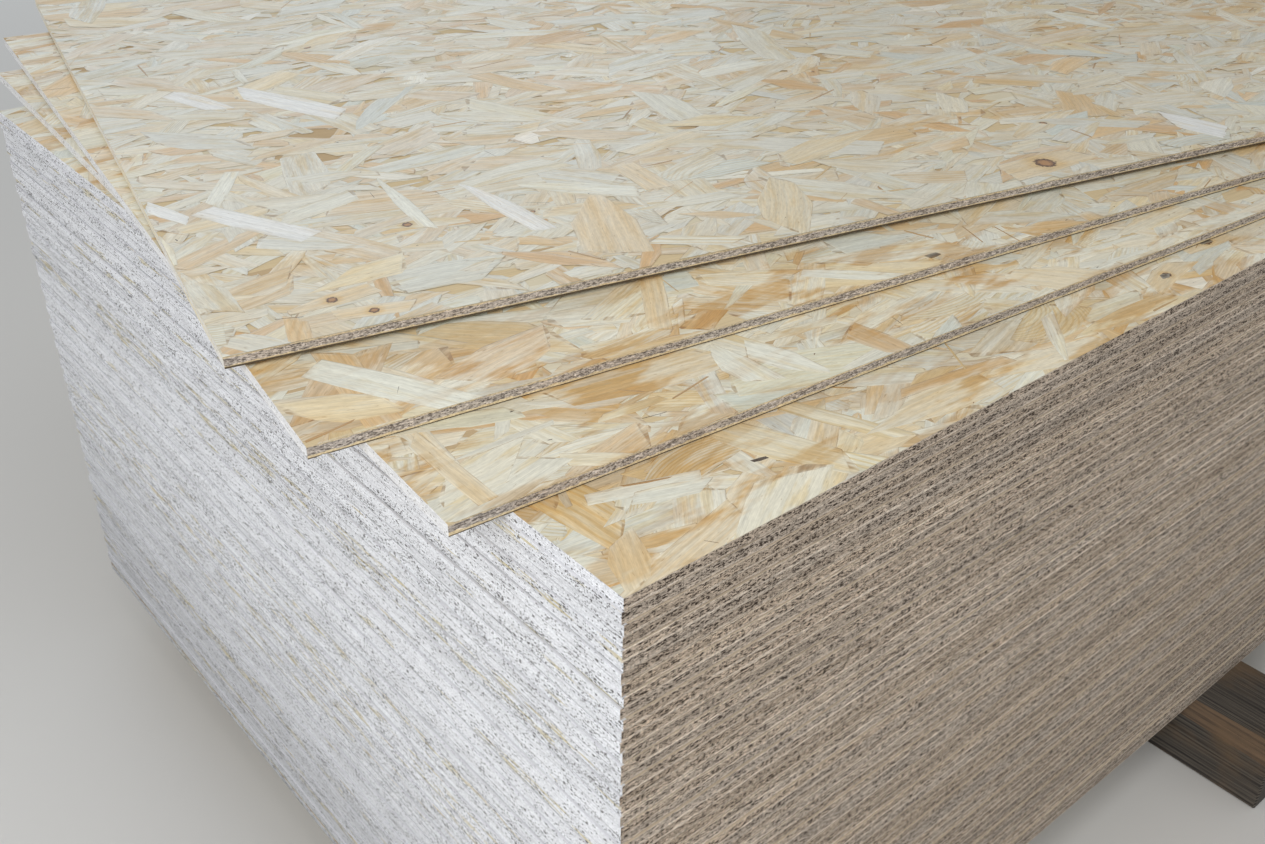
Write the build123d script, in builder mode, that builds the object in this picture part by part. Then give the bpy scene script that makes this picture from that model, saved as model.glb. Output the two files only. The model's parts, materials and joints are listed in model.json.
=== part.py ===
from build123d import *

import os
from math import pi, sin, sqrt

os.makedirs("parts", exist_ok=True)

# A stack of oriented strand board panels on sawn timber bearers, in millimetres.
# X runs along the panels, Y across them and Z up from the floor.
# The origin is the centre of the middle bearer's underside.

# One panel, an 11 mm board as it comes off the press
panel_length = 2500.0
panel_width = 1250.0
panel_thickness = 10.8
face_gap = 0.25
edge_break = 0.3

# The squared-up panels
squared_count = 67
stagger_along = 1.1
stagger_across = 0.9

# The three loose panels on top, each moved and turned from the true stack
lower_along = -7.8
lower_across = 32.8
lower_turn = -4.39
middle_along = -10.5
middle_across = 77.4
middle_turn = -8.35
upper_along = 20.4
upper_across = 123.4
upper_turn = -12.47
upper_cup = 2.8

# Bearers, with the waney arris that is left where the saw met the log's round
bearer_width = 150.0
bearer_height = 100.0
bearer_length = 1500.0
bearer_arris = 2.0
log_radius = 190.0
wane_front = 26.0
wane_waist = 11.0
wane_back = 19.0
wane_fall = 0.8
left_bearer_in = 250.0
middle_bearer_in = 1115.0
right_bearer_in = 350.0

# Places that follow from the sizes
panel_pitch = panel_thickness + face_gap
stack_centre = panel_length / 2 - middle_bearer_in
stack_left = -middle_bearer_in
stack_right = panel_length - middle_bearer_in
golden_turn = pi * (3 - sqrt(5))


def level(index):
    """Height of the underside of the panel with this index, counted from the lowest."""
    return bearer_height + index * panel_pitch


def stagger(index):
    """How far a squared-up panel lies off the true stack, never the same twice."""
    swing = index * golden_turn
    return stagger_along * sin(swing), stagger_across * sin(swing * swing)


def break_face_edges(panel):
    """Rub the sharp edges off both faces of a panel, as sawing and handling leave them."""
    rings = panel.edges().group_by(Axis.Z)
    chamfer(rings[0] + rings[-1], edge_break)


# Squared-up panels: one pattern panel, laid up once for each place in the stack
with BuildPart() as squared_panel:
    with BuildSketch():
        Rectangle(panel_length, panel_width)
    extrude(amount=panel_thickness)
    break_face_edges(squared_panel)

squared_places = []
for index in range(squared_count):
    along, across = stagger(index)
    squared_places.append((stack_centre + along, across, level(index)))

with BuildPart() as squared_panels:
    with Locations(*squared_places):
        add(squared_panel.part)


def loose_plane(index, along, across, turn):
    """The plane of a loose panel's underside: its centre, with X along the panel."""
    place = Location((stack_centre + along, across, level(index)), (0, 0, turn))
    return Plane(place)


# Lower loose panel, flat on the squared-up stack
with BuildPart() as loose_panel_lower:
    with BuildSketch(loose_plane(squared_count, lower_along, lower_across, lower_turn)):
        Rectangle(panel_length, panel_width)
    extrude(amount=panel_thickness)
    break_face_edges(loose_panel_lower)

# Middle loose panel
with BuildPart() as loose_panel_middle:
    with BuildSketch(loose_plane(squared_count + 1, middle_along, middle_across, middle_turn)):
        Rectangle(panel_length, panel_width)
    extrude(amount=panel_thickness)
    break_face_edges(loose_panel_middle)

# Upper loose panel, cupped so that both long edges lift off the panel below
upper_plane = loose_plane(squared_count + 2, upper_along, upper_across, upper_turn)
upper_end = Plane(
    origin=upper_plane.origin - upper_plane.x_dir * (panel_length / 2),
    x_dir=upper_plane.y_dir,
    z_dir=upper_plane.x_dir,
)
with BuildPart() as loose_panel_upper:
    with BuildSketch(upper_end):
        with BuildLine():
            half = panel_width / 2
            under = ThreePointArc((-half, upper_cup), (0, 0), (half, upper_cup))
            face_rise = upper_cup + panel_thickness
            over = ThreePointArc((-half, face_rise), (0, panel_thickness), (half, face_rise))
            Line(under @ 0, over @ 0)
            Line(under @ 1, over @ 1)
        make_face()
    extrude(amount=panel_length)
    long_edges = loose_panel_upper.edges().filter_by(GeomType.LINE)
    chamfer(long_edges.filter_by(lambda edge: edge.length > panel_width), edge_break)


def wane_outline(depth, side):
    """Outline of what the log's round leaves missing at one arris, on a section plane."""
    edge = side * bearer_width / 2
    clear = edge + side * log_radius
    above = bearer_height + log_radius
    on_top = (edge - side * depth, bearer_height)
    on_side = (edge, bearer_height - depth * wane_fall)
    RadiusArc(on_top, on_side, side * log_radius)
    Polyline(on_side, (clear, on_side[1]), (clear, above), (on_top[0], above), on_top)


def bearer(centre, side, wanes):
    """A sawn bearer lying across the stack, with one waney arris on the given side."""
    with BuildPart() as timber:
        with BuildSketch(Plane(origin=(centre, 0, 0))):
            Rectangle(bearer_width, bearer_length)
        extrude(amount=bearer_height)
        chamfer(timber.edges(), bearer_arris)
        reach = bearer_length / 2 + bearer_arris
        for across, depth in zip((-reach, 0, reach), wanes):
            with BuildSketch(Plane(origin=(centre, across, 0), x_dir=(1, 0, 0), z_dir=(0, -1, 0))):
                with BuildLine():
                    wane_outline(depth, side)
                make_face()
        loft(mode=Mode.SUBTRACT)
    return timber.part


front_to_back = (wane_front, wane_waist, wane_back)
back_to_front = (wane_back, wane_waist, wane_front)
bearer_left = bearer(stack_left + left_bearer_in, 1, back_to_front)
bearer_middle = bearer(0, -1, front_to_back)
bearer_right = bearer(stack_right - right_bearer_in, 1, front_to_back)

squared_panels.part.label = "squared_panels"
loose_panel_lower.part.label = "loose_panel_lower"
loose_panel_middle.part.label = "loose_panel_middle"
loose_panel_upper.part.label = "loose_panel_upper"
bearer_left.label = "bearer_left"
bearer_middle.label = "bearer_middle"
bearer_right.label = "bearer_right"

export_step(squared_panels.part, "parts/squared_panels.step")
export_step(loose_panel_lower.part, "parts/loose_panel_lower.step")
export_step(loose_panel_middle.part, "parts/loose_panel_middle.step")
export_step(loose_panel_upper.part, "parts/loose_panel_upper.step")
export_step(bearer_left, "parts/bearer_left.step")
export_step(bearer_middle, "parts/bearer_middle.step")
export_step(bearer_right, "parts/bearer_right.step")
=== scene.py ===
"""Looks of a stack of oriented strand board panels on sawn bearers.

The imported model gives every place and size. This script models the panels anew with torn sawn
edges, lays wood strands over the faces that lie open, and gives the bearers their finish.
"""

import json
import logging
import math
from dataclasses import dataclass, field
from enum import Enum

import bpy
import numpy as np
from mathutils import Matrix, Vector

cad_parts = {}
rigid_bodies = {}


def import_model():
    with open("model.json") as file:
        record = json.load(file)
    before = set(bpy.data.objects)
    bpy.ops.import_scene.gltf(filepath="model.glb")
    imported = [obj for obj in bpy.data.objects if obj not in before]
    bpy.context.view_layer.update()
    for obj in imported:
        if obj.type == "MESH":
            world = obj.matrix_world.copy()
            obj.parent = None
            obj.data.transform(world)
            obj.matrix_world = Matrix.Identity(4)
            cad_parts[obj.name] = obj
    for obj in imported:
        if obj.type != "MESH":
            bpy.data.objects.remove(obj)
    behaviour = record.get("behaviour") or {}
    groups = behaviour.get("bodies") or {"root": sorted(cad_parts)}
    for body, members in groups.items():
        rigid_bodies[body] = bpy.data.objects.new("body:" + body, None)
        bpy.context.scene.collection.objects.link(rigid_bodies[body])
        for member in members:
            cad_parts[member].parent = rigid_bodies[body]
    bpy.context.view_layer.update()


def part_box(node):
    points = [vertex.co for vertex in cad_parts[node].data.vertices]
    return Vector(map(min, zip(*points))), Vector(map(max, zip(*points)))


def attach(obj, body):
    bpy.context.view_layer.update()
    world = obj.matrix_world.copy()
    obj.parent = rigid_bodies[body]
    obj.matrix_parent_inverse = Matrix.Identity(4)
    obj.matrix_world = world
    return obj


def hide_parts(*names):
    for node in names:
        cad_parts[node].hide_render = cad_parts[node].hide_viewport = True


log = logging.getLogger("panel_stack")

MM = 0.001
BODY = "root"
BAKE_MAP = "OFBake"
FIRST_LOOSE_BOARD = 81.0

Colour = tuple[float, float, float]
Socket = bpy.types.NodeSocket
Input = Socket | float
Strands = dict[str, np.ndarray]


def linear(red: int, green: int, blue: int) -> Colour:
    """Turn a colour as it looks on screen into linear light.

    Args:
        red: Its red, 0 to 255.
        green: Its green, 0 to 255.
        blue: Its blue, 0 to 255.

    Returns:
        The three numbers in linear light, 0 to 1.
    """
    def one(value: float) -> float:
        """Turn one of the colour's three numbers."""
        share = value / 255
        return share / 12.92 if share <= 0.04045 else ((share + 0.055) / 1.055) ** 2.4
    return one(red), one(green), one(blue)


def smooth_step(share: np.ndarray) -> np.ndarray:
    """Ease a share from 0 to 1 in and out."""
    share = np.clip(share, 0, 1)
    return share * share * (3 - 2 * share)


def ripple(position: np.ndarray, pitch: float, seed: int) -> np.ndarray:
    """Smooth random wave along a line.

    Args:
        position: Places along the line, in metres.
        pitch: Distance between two of the wave's random values.
        seed: Which wave.

    Returns:
        A value from -1 to 1 for each place.
    """
    cell = np.asarray(position) / pitch
    low = np.floor(cell).astype(int)
    start = low.min()
    values = np.random.default_rng(seed).uniform(-1, 1, low.max() - start + 2)
    share = smooth_step(cell - low)
    return values[low - start] * (1 - share) + values[low - start + 1] * share


class Side(Enum):
    """Which of a panel's surfaces a polygon lies on."""

    FACE = 0
    LONG = 1
    SHORT = 2


class FaceKind(Enum):
    """What a panel's polygon shows: a sawn edge, a face on its neighbour, or an open face."""

    EDGE = 0.0
    PRESSED = 1.0
    OPEN = 2.0


@dataclass(frozen=True)
class PanelPlace:
    """One panel's rectangle as it lies in the stack, read from the frame."""

    centre: Vector
    turn: float
    length: float
    width: float
    thickness: float
    cup: float = 0.0

    @property
    def half_size(self) -> np.ndarray:
        """Half the length and half the width."""
        return np.array((self.length, self.width)) / 2

    def to_world(self, local: np.ndarray) -> np.ndarray:
        """Lay points in the stack.

        Args:
            local: Points in the panel's own frame, whose origin is the middle of its underside.

        Returns:
            The points in the frame, lifted where the panel is cupped.
        """
        cos, sin = math.cos(self.turn), math.sin(self.turn)
        x, y, z = local.T
        lift = self.cup * (2 * y / self.width) ** 2
        return np.column_stack((
            self.centre.x + x * cos - y * sin,
            self.centre.y + x * sin + y * cos,
            self.centre.z + z + lift,
        ))

    def to_local(self, world: np.ndarray) -> np.ndarray:
        """Give flat points of the frame in the panel's own frame.

        Args:
            world: Points' x and y in the frame.

        Returns:
            Their x and y on the panel.
        """
        cos, sin = math.cos(self.turn), math.sin(self.turn)
        x, y = world[:, 0] - self.centre.x, world[:, 1] - self.centre.y
        return np.column_stack((x * cos + y * sin, y * cos - x * sin))

    def covers(self, world: np.ndarray, margin: float) -> np.ndarray:
        """Say which flat world points lie under this panel, deeper in than the margin."""
        return (np.abs(self.to_local(world)) < self.half_size - margin).all(axis=1)


def node_points(node: str) -> np.ndarray:
    """Read all vertices of a node of the frame.

    Args:
        node: The node's name.

    Returns:
        One row for each vertex, in metres.
    """
    mesh = bpy.data.objects[node].data
    points = np.empty(len(mesh.vertices) * 3)
    mesh.vertices.foreach_get("co", points)
    return points.reshape(-1, 3)


def loose_place(node: str, thickness: float) -> PanelPlace:
    """Read a turned loose panel's rectangle from its corners in the frame.

    Args:
        node: The panel's node.
        thickness: Thickness of every panel.

    Returns:
        The panel's place, with its cup.
    """
    points = node_points(node)
    near_left = points[points[:, 0].argmin()]
    near_right = points[points[:, 1].argmin()]
    far_left = points[points[:, 1].argmax()]
    along = (near_right - near_left)[:2]
    across = (far_left - near_left)[:2]
    low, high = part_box(node)
    middle = (low + high) / 2
    return PanelPlace(
        Vector((middle.x, middle.y, low.z)),
        math.atan2(along[1], along[0]),
        float(np.hypot(*along)),
        float(np.hypot(*across)),
        thickness,
        (high.z - low.z) - thickness,
    )


def top_place(node: str, thickness: float) -> PanelPlace:
    """Read the uppermost squared-up panel's rectangle from the frame.

    Args:
        node: The squared-up panels' node.
        thickness: Thickness of every panel.

    Returns:
        The panel's place.
    """
    points = node_points(node)
    under = points[:, 2].max() - thickness
    panel = points[points[:, 2] > under, :2]
    low, high = panel.min(axis=0), panel.max(axis=0)
    middle = (low + high) / 2
    return PanelPlace(Vector((*middle, under)), 0.0, *(high - low), thickness)


class Wires:
    """A short way to lay and join the nodes of one material."""

    def __init__(self, name: str) -> None:
        """Start a material with its shader.

        Args:
            name: The material's name.
        """
        self.material = bpy.data.materials.new(name)
        self.material.use_nodes = True
        self.tree = self.material.node_tree
        self.shader = self.tree.nodes["Principled BSDF"]

    def join(self, value: Input | tuple | None, socket: Socket) -> None:
        """Join a socket to an input, or set the input's own value.

        Args:
            value: The socket to join, the value to set, or None to leave the input alone.
            socket: The input.
        """
        if isinstance(value, bpy.types.NodeSocket):
            self.tree.links.new(value, socket)
        elif value is not None:
            socket.default_value = value

    def node(self, kind: str, inputs: dict | None = None, **settings: object) -> bpy.types.Node:
        """Add a node.

        Args:
            kind: The node's type.
            inputs: What each of its inputs gets, by name or number.
            **settings: Its settings, by name.

        Returns:
            The node.
        """
        node = self.tree.nodes.new(kind)
        for key, value in settings.items():
            setattr(node, key, value)
        for key, value in (inputs or {}).items():
            self.join(value, node.inputs[key])
        return node

    def math(self, operation: str, first: Input, second: Input | None = None,
             third: Input | None = None) -> Socket:
        """One sum on numbers."""
        return self.node("ShaderNodeMath", {0: first, 1: second, 2: third},
                         operation=operation).outputs[0]

    def times(self, first: Input, second: Input) -> Socket:
        """Multiply two numbers."""
        return self.math("MULTIPLY", first, second)

    def plus(self, first: Input, second: Input) -> Socket:
        """Add two numbers."""
        return self.math("ADD", first, second)

    def most(self, first: Input, second: Input) -> Socket:
        """The larger of two numbers."""
        return self.math("MAXIMUM", first, second)

    def above(self, value: Input, limit: Input) -> Socket:
        """1 where a number is above a limit, and 0 elsewhere."""
        return self.math("GREATER_THAN", value, limit)

    def vector(self, x: Input, y: Input, z: Input = 0.0) -> Socket:
        """Three numbers as one place."""
        return self.node("ShaderNodeCombineXYZ", {0: x, 1: y, 2: z}).outputs[0]

    def scaled(self, *parts: tuple[Input, float]) -> Socket:
        """Two or three numbers, each times a factor of its own, as one place."""
        return self.vector(*(self.times(value, factor) for value, factor in parts))

    def parts(self, vector: Socket) -> tuple[Socket, ...]:
        """A place as three numbers."""
        return tuple(self.node("ShaderNodeSeparateXYZ", {0: vector}).outputs)

    def attribute(self, name: str, output: str = "Vector") -> Socket:
        """What the mesh stores under a name."""
        return self.node("ShaderNodeAttribute", attribute_name=name).outputs[output]

    def map(self, name: str) -> tuple[Socket, ...]:
        """The two numbers of one of the mesh's maps."""
        return self.parts(self.node("ShaderNodeUVMap", uv_map=name).outputs[0])[:2]

    def noise(self, place: Socket, detail: float = 2.0, rough: float = 0.5,
              warp: float = 0.0) -> Socket:
        """Make cloudy noise whose grains are about one unit of the place given.

        Args:
            place: Where the noise is read.
            detail: How many finer layers it has.
            rough: How strong the finer layers are.
            warp: How far it is warped.

        Returns:
            The noise, 0 to 1.
        """
        return self.node("ShaderNodeTexNoise", {
            "Vector": place, "Scale": 1.0, "Detail": detail, "Roughness": rough, "Distortion": warp,
        }).outputs[0]

    def cells(self, place: Socket, dimensions: str = "3D") -> tuple[Socket, tuple[Socket, ...]]:
        """Make random cells about one unit wide.

        Args:
            place: Where the cells are read.
            dimensions: How many of the place's numbers count.

        Returns:
            The distance from a cell's middle, and the cell's own three numbers.
        """
        node = self.node("ShaderNodeTexVoronoi", {"Vector": place, "Scale": 1.0},
                         voronoi_dimensions=dimensions)
        return node.outputs["Distance"], self.parts(node.outputs["Color"])

    def band(self, value: Input, low: float, high: float, start: float = 0.0,
             end: float = 1.0) -> Socket:
        """Ease from start to end while the value goes from low to high.

        Args:
            value: What is eased.
            low: Where the easing starts.
            high: Where it ends.
            start: What comes out at low and before it.
            end: What comes out at high and past it.

        Returns:
            The eased value.
        """
        return self.node("ShaderNodeMapRange", {
            "Value": value, "From Min": low, "From Max": high, "To Min": start, "To Max": end,
        }, interpolation_type="SMOOTHSTEP").outputs[0]

    def mix(self, share: Input, first: Socket | Colour, second: Socket | Colour,
            blend: str = "MIX") -> Socket:
        """Mix two colours.

        Args:
            share: How much of the second one, 0 to 1.
            first: The first colour.
            second: The second colour.
            blend: How they are mixed.

        Returns:
            The mixed colour.
        """
        node = self.node("ShaderNodeMix", data_type="RGBA", blend_type=blend)
        self.join(share, node.inputs[0])
        for value, socket in ((first, node.inputs[6]), (second, node.inputs[7])):
            self.join((*value, 1.0) if isinstance(value, tuple) else value, socket)
        return node.outputs[2]

    def tinted(self, share: Input, colour: Socket, tint: Colour) -> Socket:
        """Multiply a colour by a tint, as far as the share says."""
        return self.mix(share, colour, self.mix(1.0, colour, tint, "MULTIPLY"))

    def blend(self, share: Input, first: Input, second: Input) -> Socket:
        """Mix two numbers."""
        return self.node("ShaderNodeMix", {0: share, 2: first, 3: second},
                         data_type="FLOAT").outputs[0]

    def shade(self, colour: Socket, amount: Input) -> Socket:
        """Multiply a colour by a number."""
        return self.node("ShaderNodeVectorMath", {0: colour, "Scale": amount},
                         operation="SCALE").outputs[0]

    def bump(self, height: Socket, depth: float) -> Socket:
        """Relief from a height of 0 to 1 that is worth this many metres."""
        return self.node("ShaderNodeBump",
                         {"Height": height, "Strength": 1.0, "Distance": depth}).outputs[0]

    def finish(self, **inputs: Input | tuple) -> bpy.types.Material:
        """Join the shader's inputs.

        Args:
            **inputs: What goes into each input, whose name has underscores for its spaces.

        Returns:
            The finished material.
        """
        for key, value in inputs.items():
            self.join(value, self.shader.inputs[key.replace("_", " ")])
        return self.material


class StrandPlaces:
    """Where on a strand a point lies, the strand's own values, and noise along its grain."""

    def __init__(self, w: Wires) -> None:
        """Read the maps and values that StrandLay stores.

        Args:
            w: The material's wires.
        """
        self.w = w
        self.u, self.v = w.map("grain")
        self.tint = w.attribute("tint", "Color")
        self.own = w.attribute("tint", "Alpha")
        self.pitch, self.bow, self.strength = w.parts(w.attribute("growth"))
        half_length, self.half_width, self.seed = w.parts(w.attribute("flake"))
        s, t = w.map("span")
        side = w.times(w.math("SUBTRACT", 1.0, w.math("ABSOLUTE", t)), self.half_width)
        end = w.times(w.math("SUBTRACT", 1.0, w.math("ABSOLUTE", s)), half_length)
        self.inward = w.math("MINIMUM", side, end)
        self.broken = self.grain(34.0, 90.0, 7.0)
        self.patch = self.grain(12.0, 72.0, 31.0, 3.0)
        self.streak = self.grain(9.0, 230.0, 5.0)
        self.fibre = self.grain(28.0, 1100.0, 17.0)

    def grain(self, along: float, across: float, shift: float, detail: float = 2.0) -> Socket:
        """Noise that differs from strand to strand.

        Args:
            along: Grains to the metre along the strand.
            across: Grains to the metre across it.
            shift: Sets one noise apart from the others.
            detail: How many finer layers it has.

        Returns:
            A number from 0 to 1.
        """
        w = self.w
        place = w.vector(w.times(self.u, along), w.times(self.v, across), w.plus(self.seed, shift))
        return w.noise(place, detail, 0.6)


@dataclass(frozen=True)
class StrandFinish:
    """Flat wood strands in clear resin, with growth rings, fibres, knots and shaded rims."""

    name: str
    shared_pale: Colour
    shared_warm: Colour
    shared_grey: Colour = linear(206, 207, 196)
    late_wood: Colour = (0.88, 0.75, 0.56)
    warm_resin: Colour = (0.94, 0.81, 0.58)
    rim_tone: Colour = (0.54, 0.42, 0.30)
    pale_sapwood: Colour = linear(216, 213, 198)
    knot_dark: Colour = linear(82, 54, 33)
    knot_light: Colour = linear(168, 124, 78)
    cloud_low: float = 0.42
    painted_sheen_left: float = 0.0
    rim_width: float = 0.9 * MM
    soft_width: float = 7 * MM
    thin: float = 1 * MM
    specular: float = 0.6
    relief: float = 0.35 * MM

    def build(self) -> bpy.types.Material:
        """Lay the nodes. The strands' meshes give tint, growth, flake and knot values.

        Returns:
            The finished material.
        """
        w = Wires(self.name)
        at = StrandPlaces(w)
        reach, pushed, knot_colour = self.knot(w, at)
        colour = self.ground(w, at)
        colour = w.tinted(self.late_share(w, at, pushed), colour, self.late_wood)
        colour = w.shade(colour, w.band(at.streak, 0.28, 0.72, 0.90, 1.05))
        colour = w.shade(colour, w.band(at.fibre, 0.28, 0.72, 0.93, 1.06))
        mottle = at.grain(120.0, 520.0, 29.0)
        colour = w.shade(colour, w.band(mottle, 0.28, 0.72, 0.92, 1.06))
        torn = at.grain(90.0, 420.0, 47.0)
        colour = w.tinted(w.band(torn, 0.66, 0.74, 0.0, 0.55), colour, self.rim_tone)
        # Dark band along most strand rims: partly glue lines, partly painted shade of the strand's own
        # thickness
        rim = w.times(w.band(at.inward, 0.0, self.rim_width, 0.8, 0.0), w.band(at.broken, 0.46, 0.62))
        colour = w.tinted(rim, colour, self.rim_tone)
        colour = w.tinted(w.band(reach, 2.6, 1.0, 0.0, 0.8), colour, self.warm_resin)
        colour = w.mix(w.band(reach, 1.1, 0.85), colour, knot_colour)

        rounded = w.band(at.inward, 0.0, 1.6 * self.rim_width)
        height = w.math("MULTIPLY_ADD", at.fibre, 0.2, w.times(rounded, 0.6))
        height = w.math("MULTIPLY_ADD", at.streak, 0.2, height)
        return w.finish(
            Base_Color=colour,
            Roughness=w.band(at.patch, 0.25, 0.75, 0.30, 0.46),
            Specular_IOR_Level=self.specular,
            Normal=w.bump(height, self.relief),
        )

    def knot(self, w: Wires, at: StrandPlaces) -> tuple[Socket, Socket, Socket]:
        """Read a strand's knot.

        Args:
            w: The material's wires.
            at: Places on the strand.

        Returns:
            Distance from the knot in knot radii, how far across the grain is pushed, and
            the knot's own colour.
        """
        knot_u, knot_v, radius = w.parts(w.attribute("knot"))
        off_u = w.math("SUBTRACT", at.u, knot_u)
        off_v = w.math("SUBTRACT", at.v, knot_v)
        far = w.math("SQRT", w.math("MULTIPLY_ADD", off_u, off_u, w.times(off_v, off_v)))
        reach = w.math("DIVIDE", far, w.most(radius, 1e-5))
        ragged = w.noise(w.scaled((at.u, 260.0), (at.v, 260.0)), 1.0)
        reach = w.plus(reach, w.band(ragged, 0.2, 0.8, -0.18, 0.18))
        pushed = w.times(off_v, w.band(reach, 0.8, 3.5, 0.7, 0.0))
        heart = w.band(reach, 0.85, 0.35)
        return reach, pushed, w.mix(heart, self.knot_dark, self.knot_light)

    def late_share(self, w: Wires, at: StrandPlaces, pushed: Socket) -> Socket:
        """Growth rings: how much late wood shows.

        Args:
            w: The material's wires.
            at: Places on the strand.
            pushed: How far across a knot pushes the grain.

        Returns:
            A share from 0 to 1.
        """
        across = w.math("SUBTRACT", at.v, pushed)
        swept = w.math("MULTIPLY_ADD", w.times(at.u, at.u), at.bow, across)
        drift = at.grain(7.0, 24.0, 0.0)
        rings = w.plus(w.math("DIVIDE", swept, at.pitch), w.times(drift, 4.0))
        wave = w.math("SINE", w.times(rings, 2 * math.pi))
        return w.times(w.band(wave, -0.2, 1.0), at.strength)

    def shared(self, w: Wires) -> Socket:
        """The panel's own drifting colour, which quiet strands and soft rims take on, with a painted
        sheen that greys it towards the panel's left end.

        Args:
            w: The material's wires.

        Returns:
            The colour.
        """
        x, y, _ = w.parts(w.node("ShaderNodeTexCoord").outputs["Object"])
        region = w.noise(w.scaled((x, 7.0), (y, 22.0)), 4.0, 0.6)
        cloud = w.noise(w.vector(w.times(x, 3.0), w.times(y, 6.0), 4.0))
        # Painted sheen: the grey cloud grows towards the left end, in place of the glossy face's
        # reflection of the sky
        cloud = w.plus(cloud, w.band(x, -1.2, 0.0, self.painted_sheen_left, 0.0))
        colour = w.mix(w.band(region, 0.46, 0.57), self.shared_pale, self.shared_warm)
        grey = w.band(cloud, self.cloud_low, self.cloud_low + 0.2, 0.0, 0.75)
        return w.mix(grey, colour, self.shared_grey)

    def ground(self, w: Wires, at: StrandPlaces) -> Socket:
        """The strand's colour before its rings and fibres, dissolved towards its rims.

        Args:
            w: The material's wires.
            at: Places on the strand.

        Returns:
            The colour.
        """
        fade = w.math("SUBTRACT", 1.0, at.own)
        near_rim = w.times(w.band(at.inward, 0.0, self.soft_width, 1.0, 0.0),
                           w.band(at.broken, 0.3, 0.55, 0.2, 0.9))
        near_rim = w.times(near_rim, w.band(at.half_width, self.thin, 4 * self.thin))
        blurred = w.most(fade, w.blend(at.own, 0.95, 0.4))
        dissolve = w.blend(near_rim, w.times(fade, 0.8), blurred)
        colour = w.mix(dissolve, at.tint, self.shared(w))
        veil = w.blend(at.own, 1.0, 0.35)
        warm = w.times(w.band(at.patch, 0.50, 0.66, 0.0, 0.8), veil)
        colour = w.tinted(warm, colour, self.warm_resin)
        pale = w.times(w.band(at.patch, 0.45, 0.30, 0.0, 0.6), veil)
        return w.mix(pale, colour, self.pale_sapwood)


class EdgePlaces:
    """Where on a panel a point lies, its board's own numbers, and noise and specks along edges."""

    BOARD_STRIDE = 7.31

    def __init__(self, w: Wires) -> None:
        """Read the map and values that write_maps stores.

        Args:
            w: The material's wires.
        """
        self.w = w
        self.along, self.share = w.map("panel")
        self.short, self.face, self.board = w.parts(w.attribute("side"))
        self.row = w.plus(self.share, w.times(self.board, self.BOARD_STRIDE))
        own = w.node("ShaderNodeTexWhiteNoise", {"Vector": w.vector(self.board, self.short, 3.7)},
                     noise_dimensions="3D").outputs["Color"]
        self.own_light, self.own_warm, self.own_bare = w.parts(own)
        self.loose = w.above(self.board, FIRST_LOOSE_BOARD - 1.0)
        self.lifted = w.above(self.board, FIRST_LOOSE_BOARD + 1.5)
        self.ragged = self.grain(700.0, 16.0, 3.0, 1.0)
        self.wander = self.grain(24.0, 0.7, 0.0, 3.0)
        self.drift = self.grain(5.0, 0.7, 9.0)
        self.grit = self.grain(460.0, 9.0, 4.0, 1.0)
        self.mottle = self.grain(190.0, 6.0, 14.0, 3.0, 0.7)
        self.crowd = self.grain(30.0, 1.1, 41.0, 3.0, 0.6)
        strands = w.vector(w.math("MULTIPLY_ADD", self.along, 150.0, self.wander),
                           w.math("MULTIPLY_ADD", self.row, 9.0, self.wander), self.short)
        self.strand_end = w.cells(strands)[1][0]

    def grain(self, per_metre: float, per_panel: float, shift: float, detail: float = 2.0,
              rough: float = 0.55) -> Socket:
        """Noise that differs from board to board.

        Args:
            per_metre: Grains to the metre along the edge.
            per_panel: Grains to the board's thickness.
            shift: Sets one noise apart from the others.
            detail: How many finer layers it has.
            rough: How strong the finer layers are.

        Returns:
            A number from 0 to 1.
        """
        w = self.w
        place = w.vector(w.times(self.along, per_metre), w.times(self.row, per_panel),
                         w.plus(self.short, shift))
        return w.noise(place, detail, rough)

    def specks(self, per_metre: float, per_panel: float, shift: float, common: Socket,
               size: float) -> Socket:
        """Ragged specks, each in a cell of its own.

        Args:
            per_metre: Cells to the metre along the edge.
            per_panel: Cells to the board's thickness.
            shift: Sets one kind of speck apart from the others.
            common: Share of the cells that hold a speck.
            size: The largest speck's radius, in cells.

        Returns:
            1 within a speck and 0 elsewhere.
        """
        w = self.w
        place = w.vector(w.math("MULTIPLY_ADD", self.along, per_metre, w.times(self.ragged, 1.2)),
                         w.math("MULTIPLY_ADD", self.row, per_panel, shift))
        distance, own = w.cells(place, "2D")
        radius = w.blend(own[1], 0.45 * size, size)
        inside = w.band(w.math("SUBTRACT", distance, radius), 0.07, -0.07)
        return w.times(inside, w.math("LESS_THAN", own[0], common))


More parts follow.
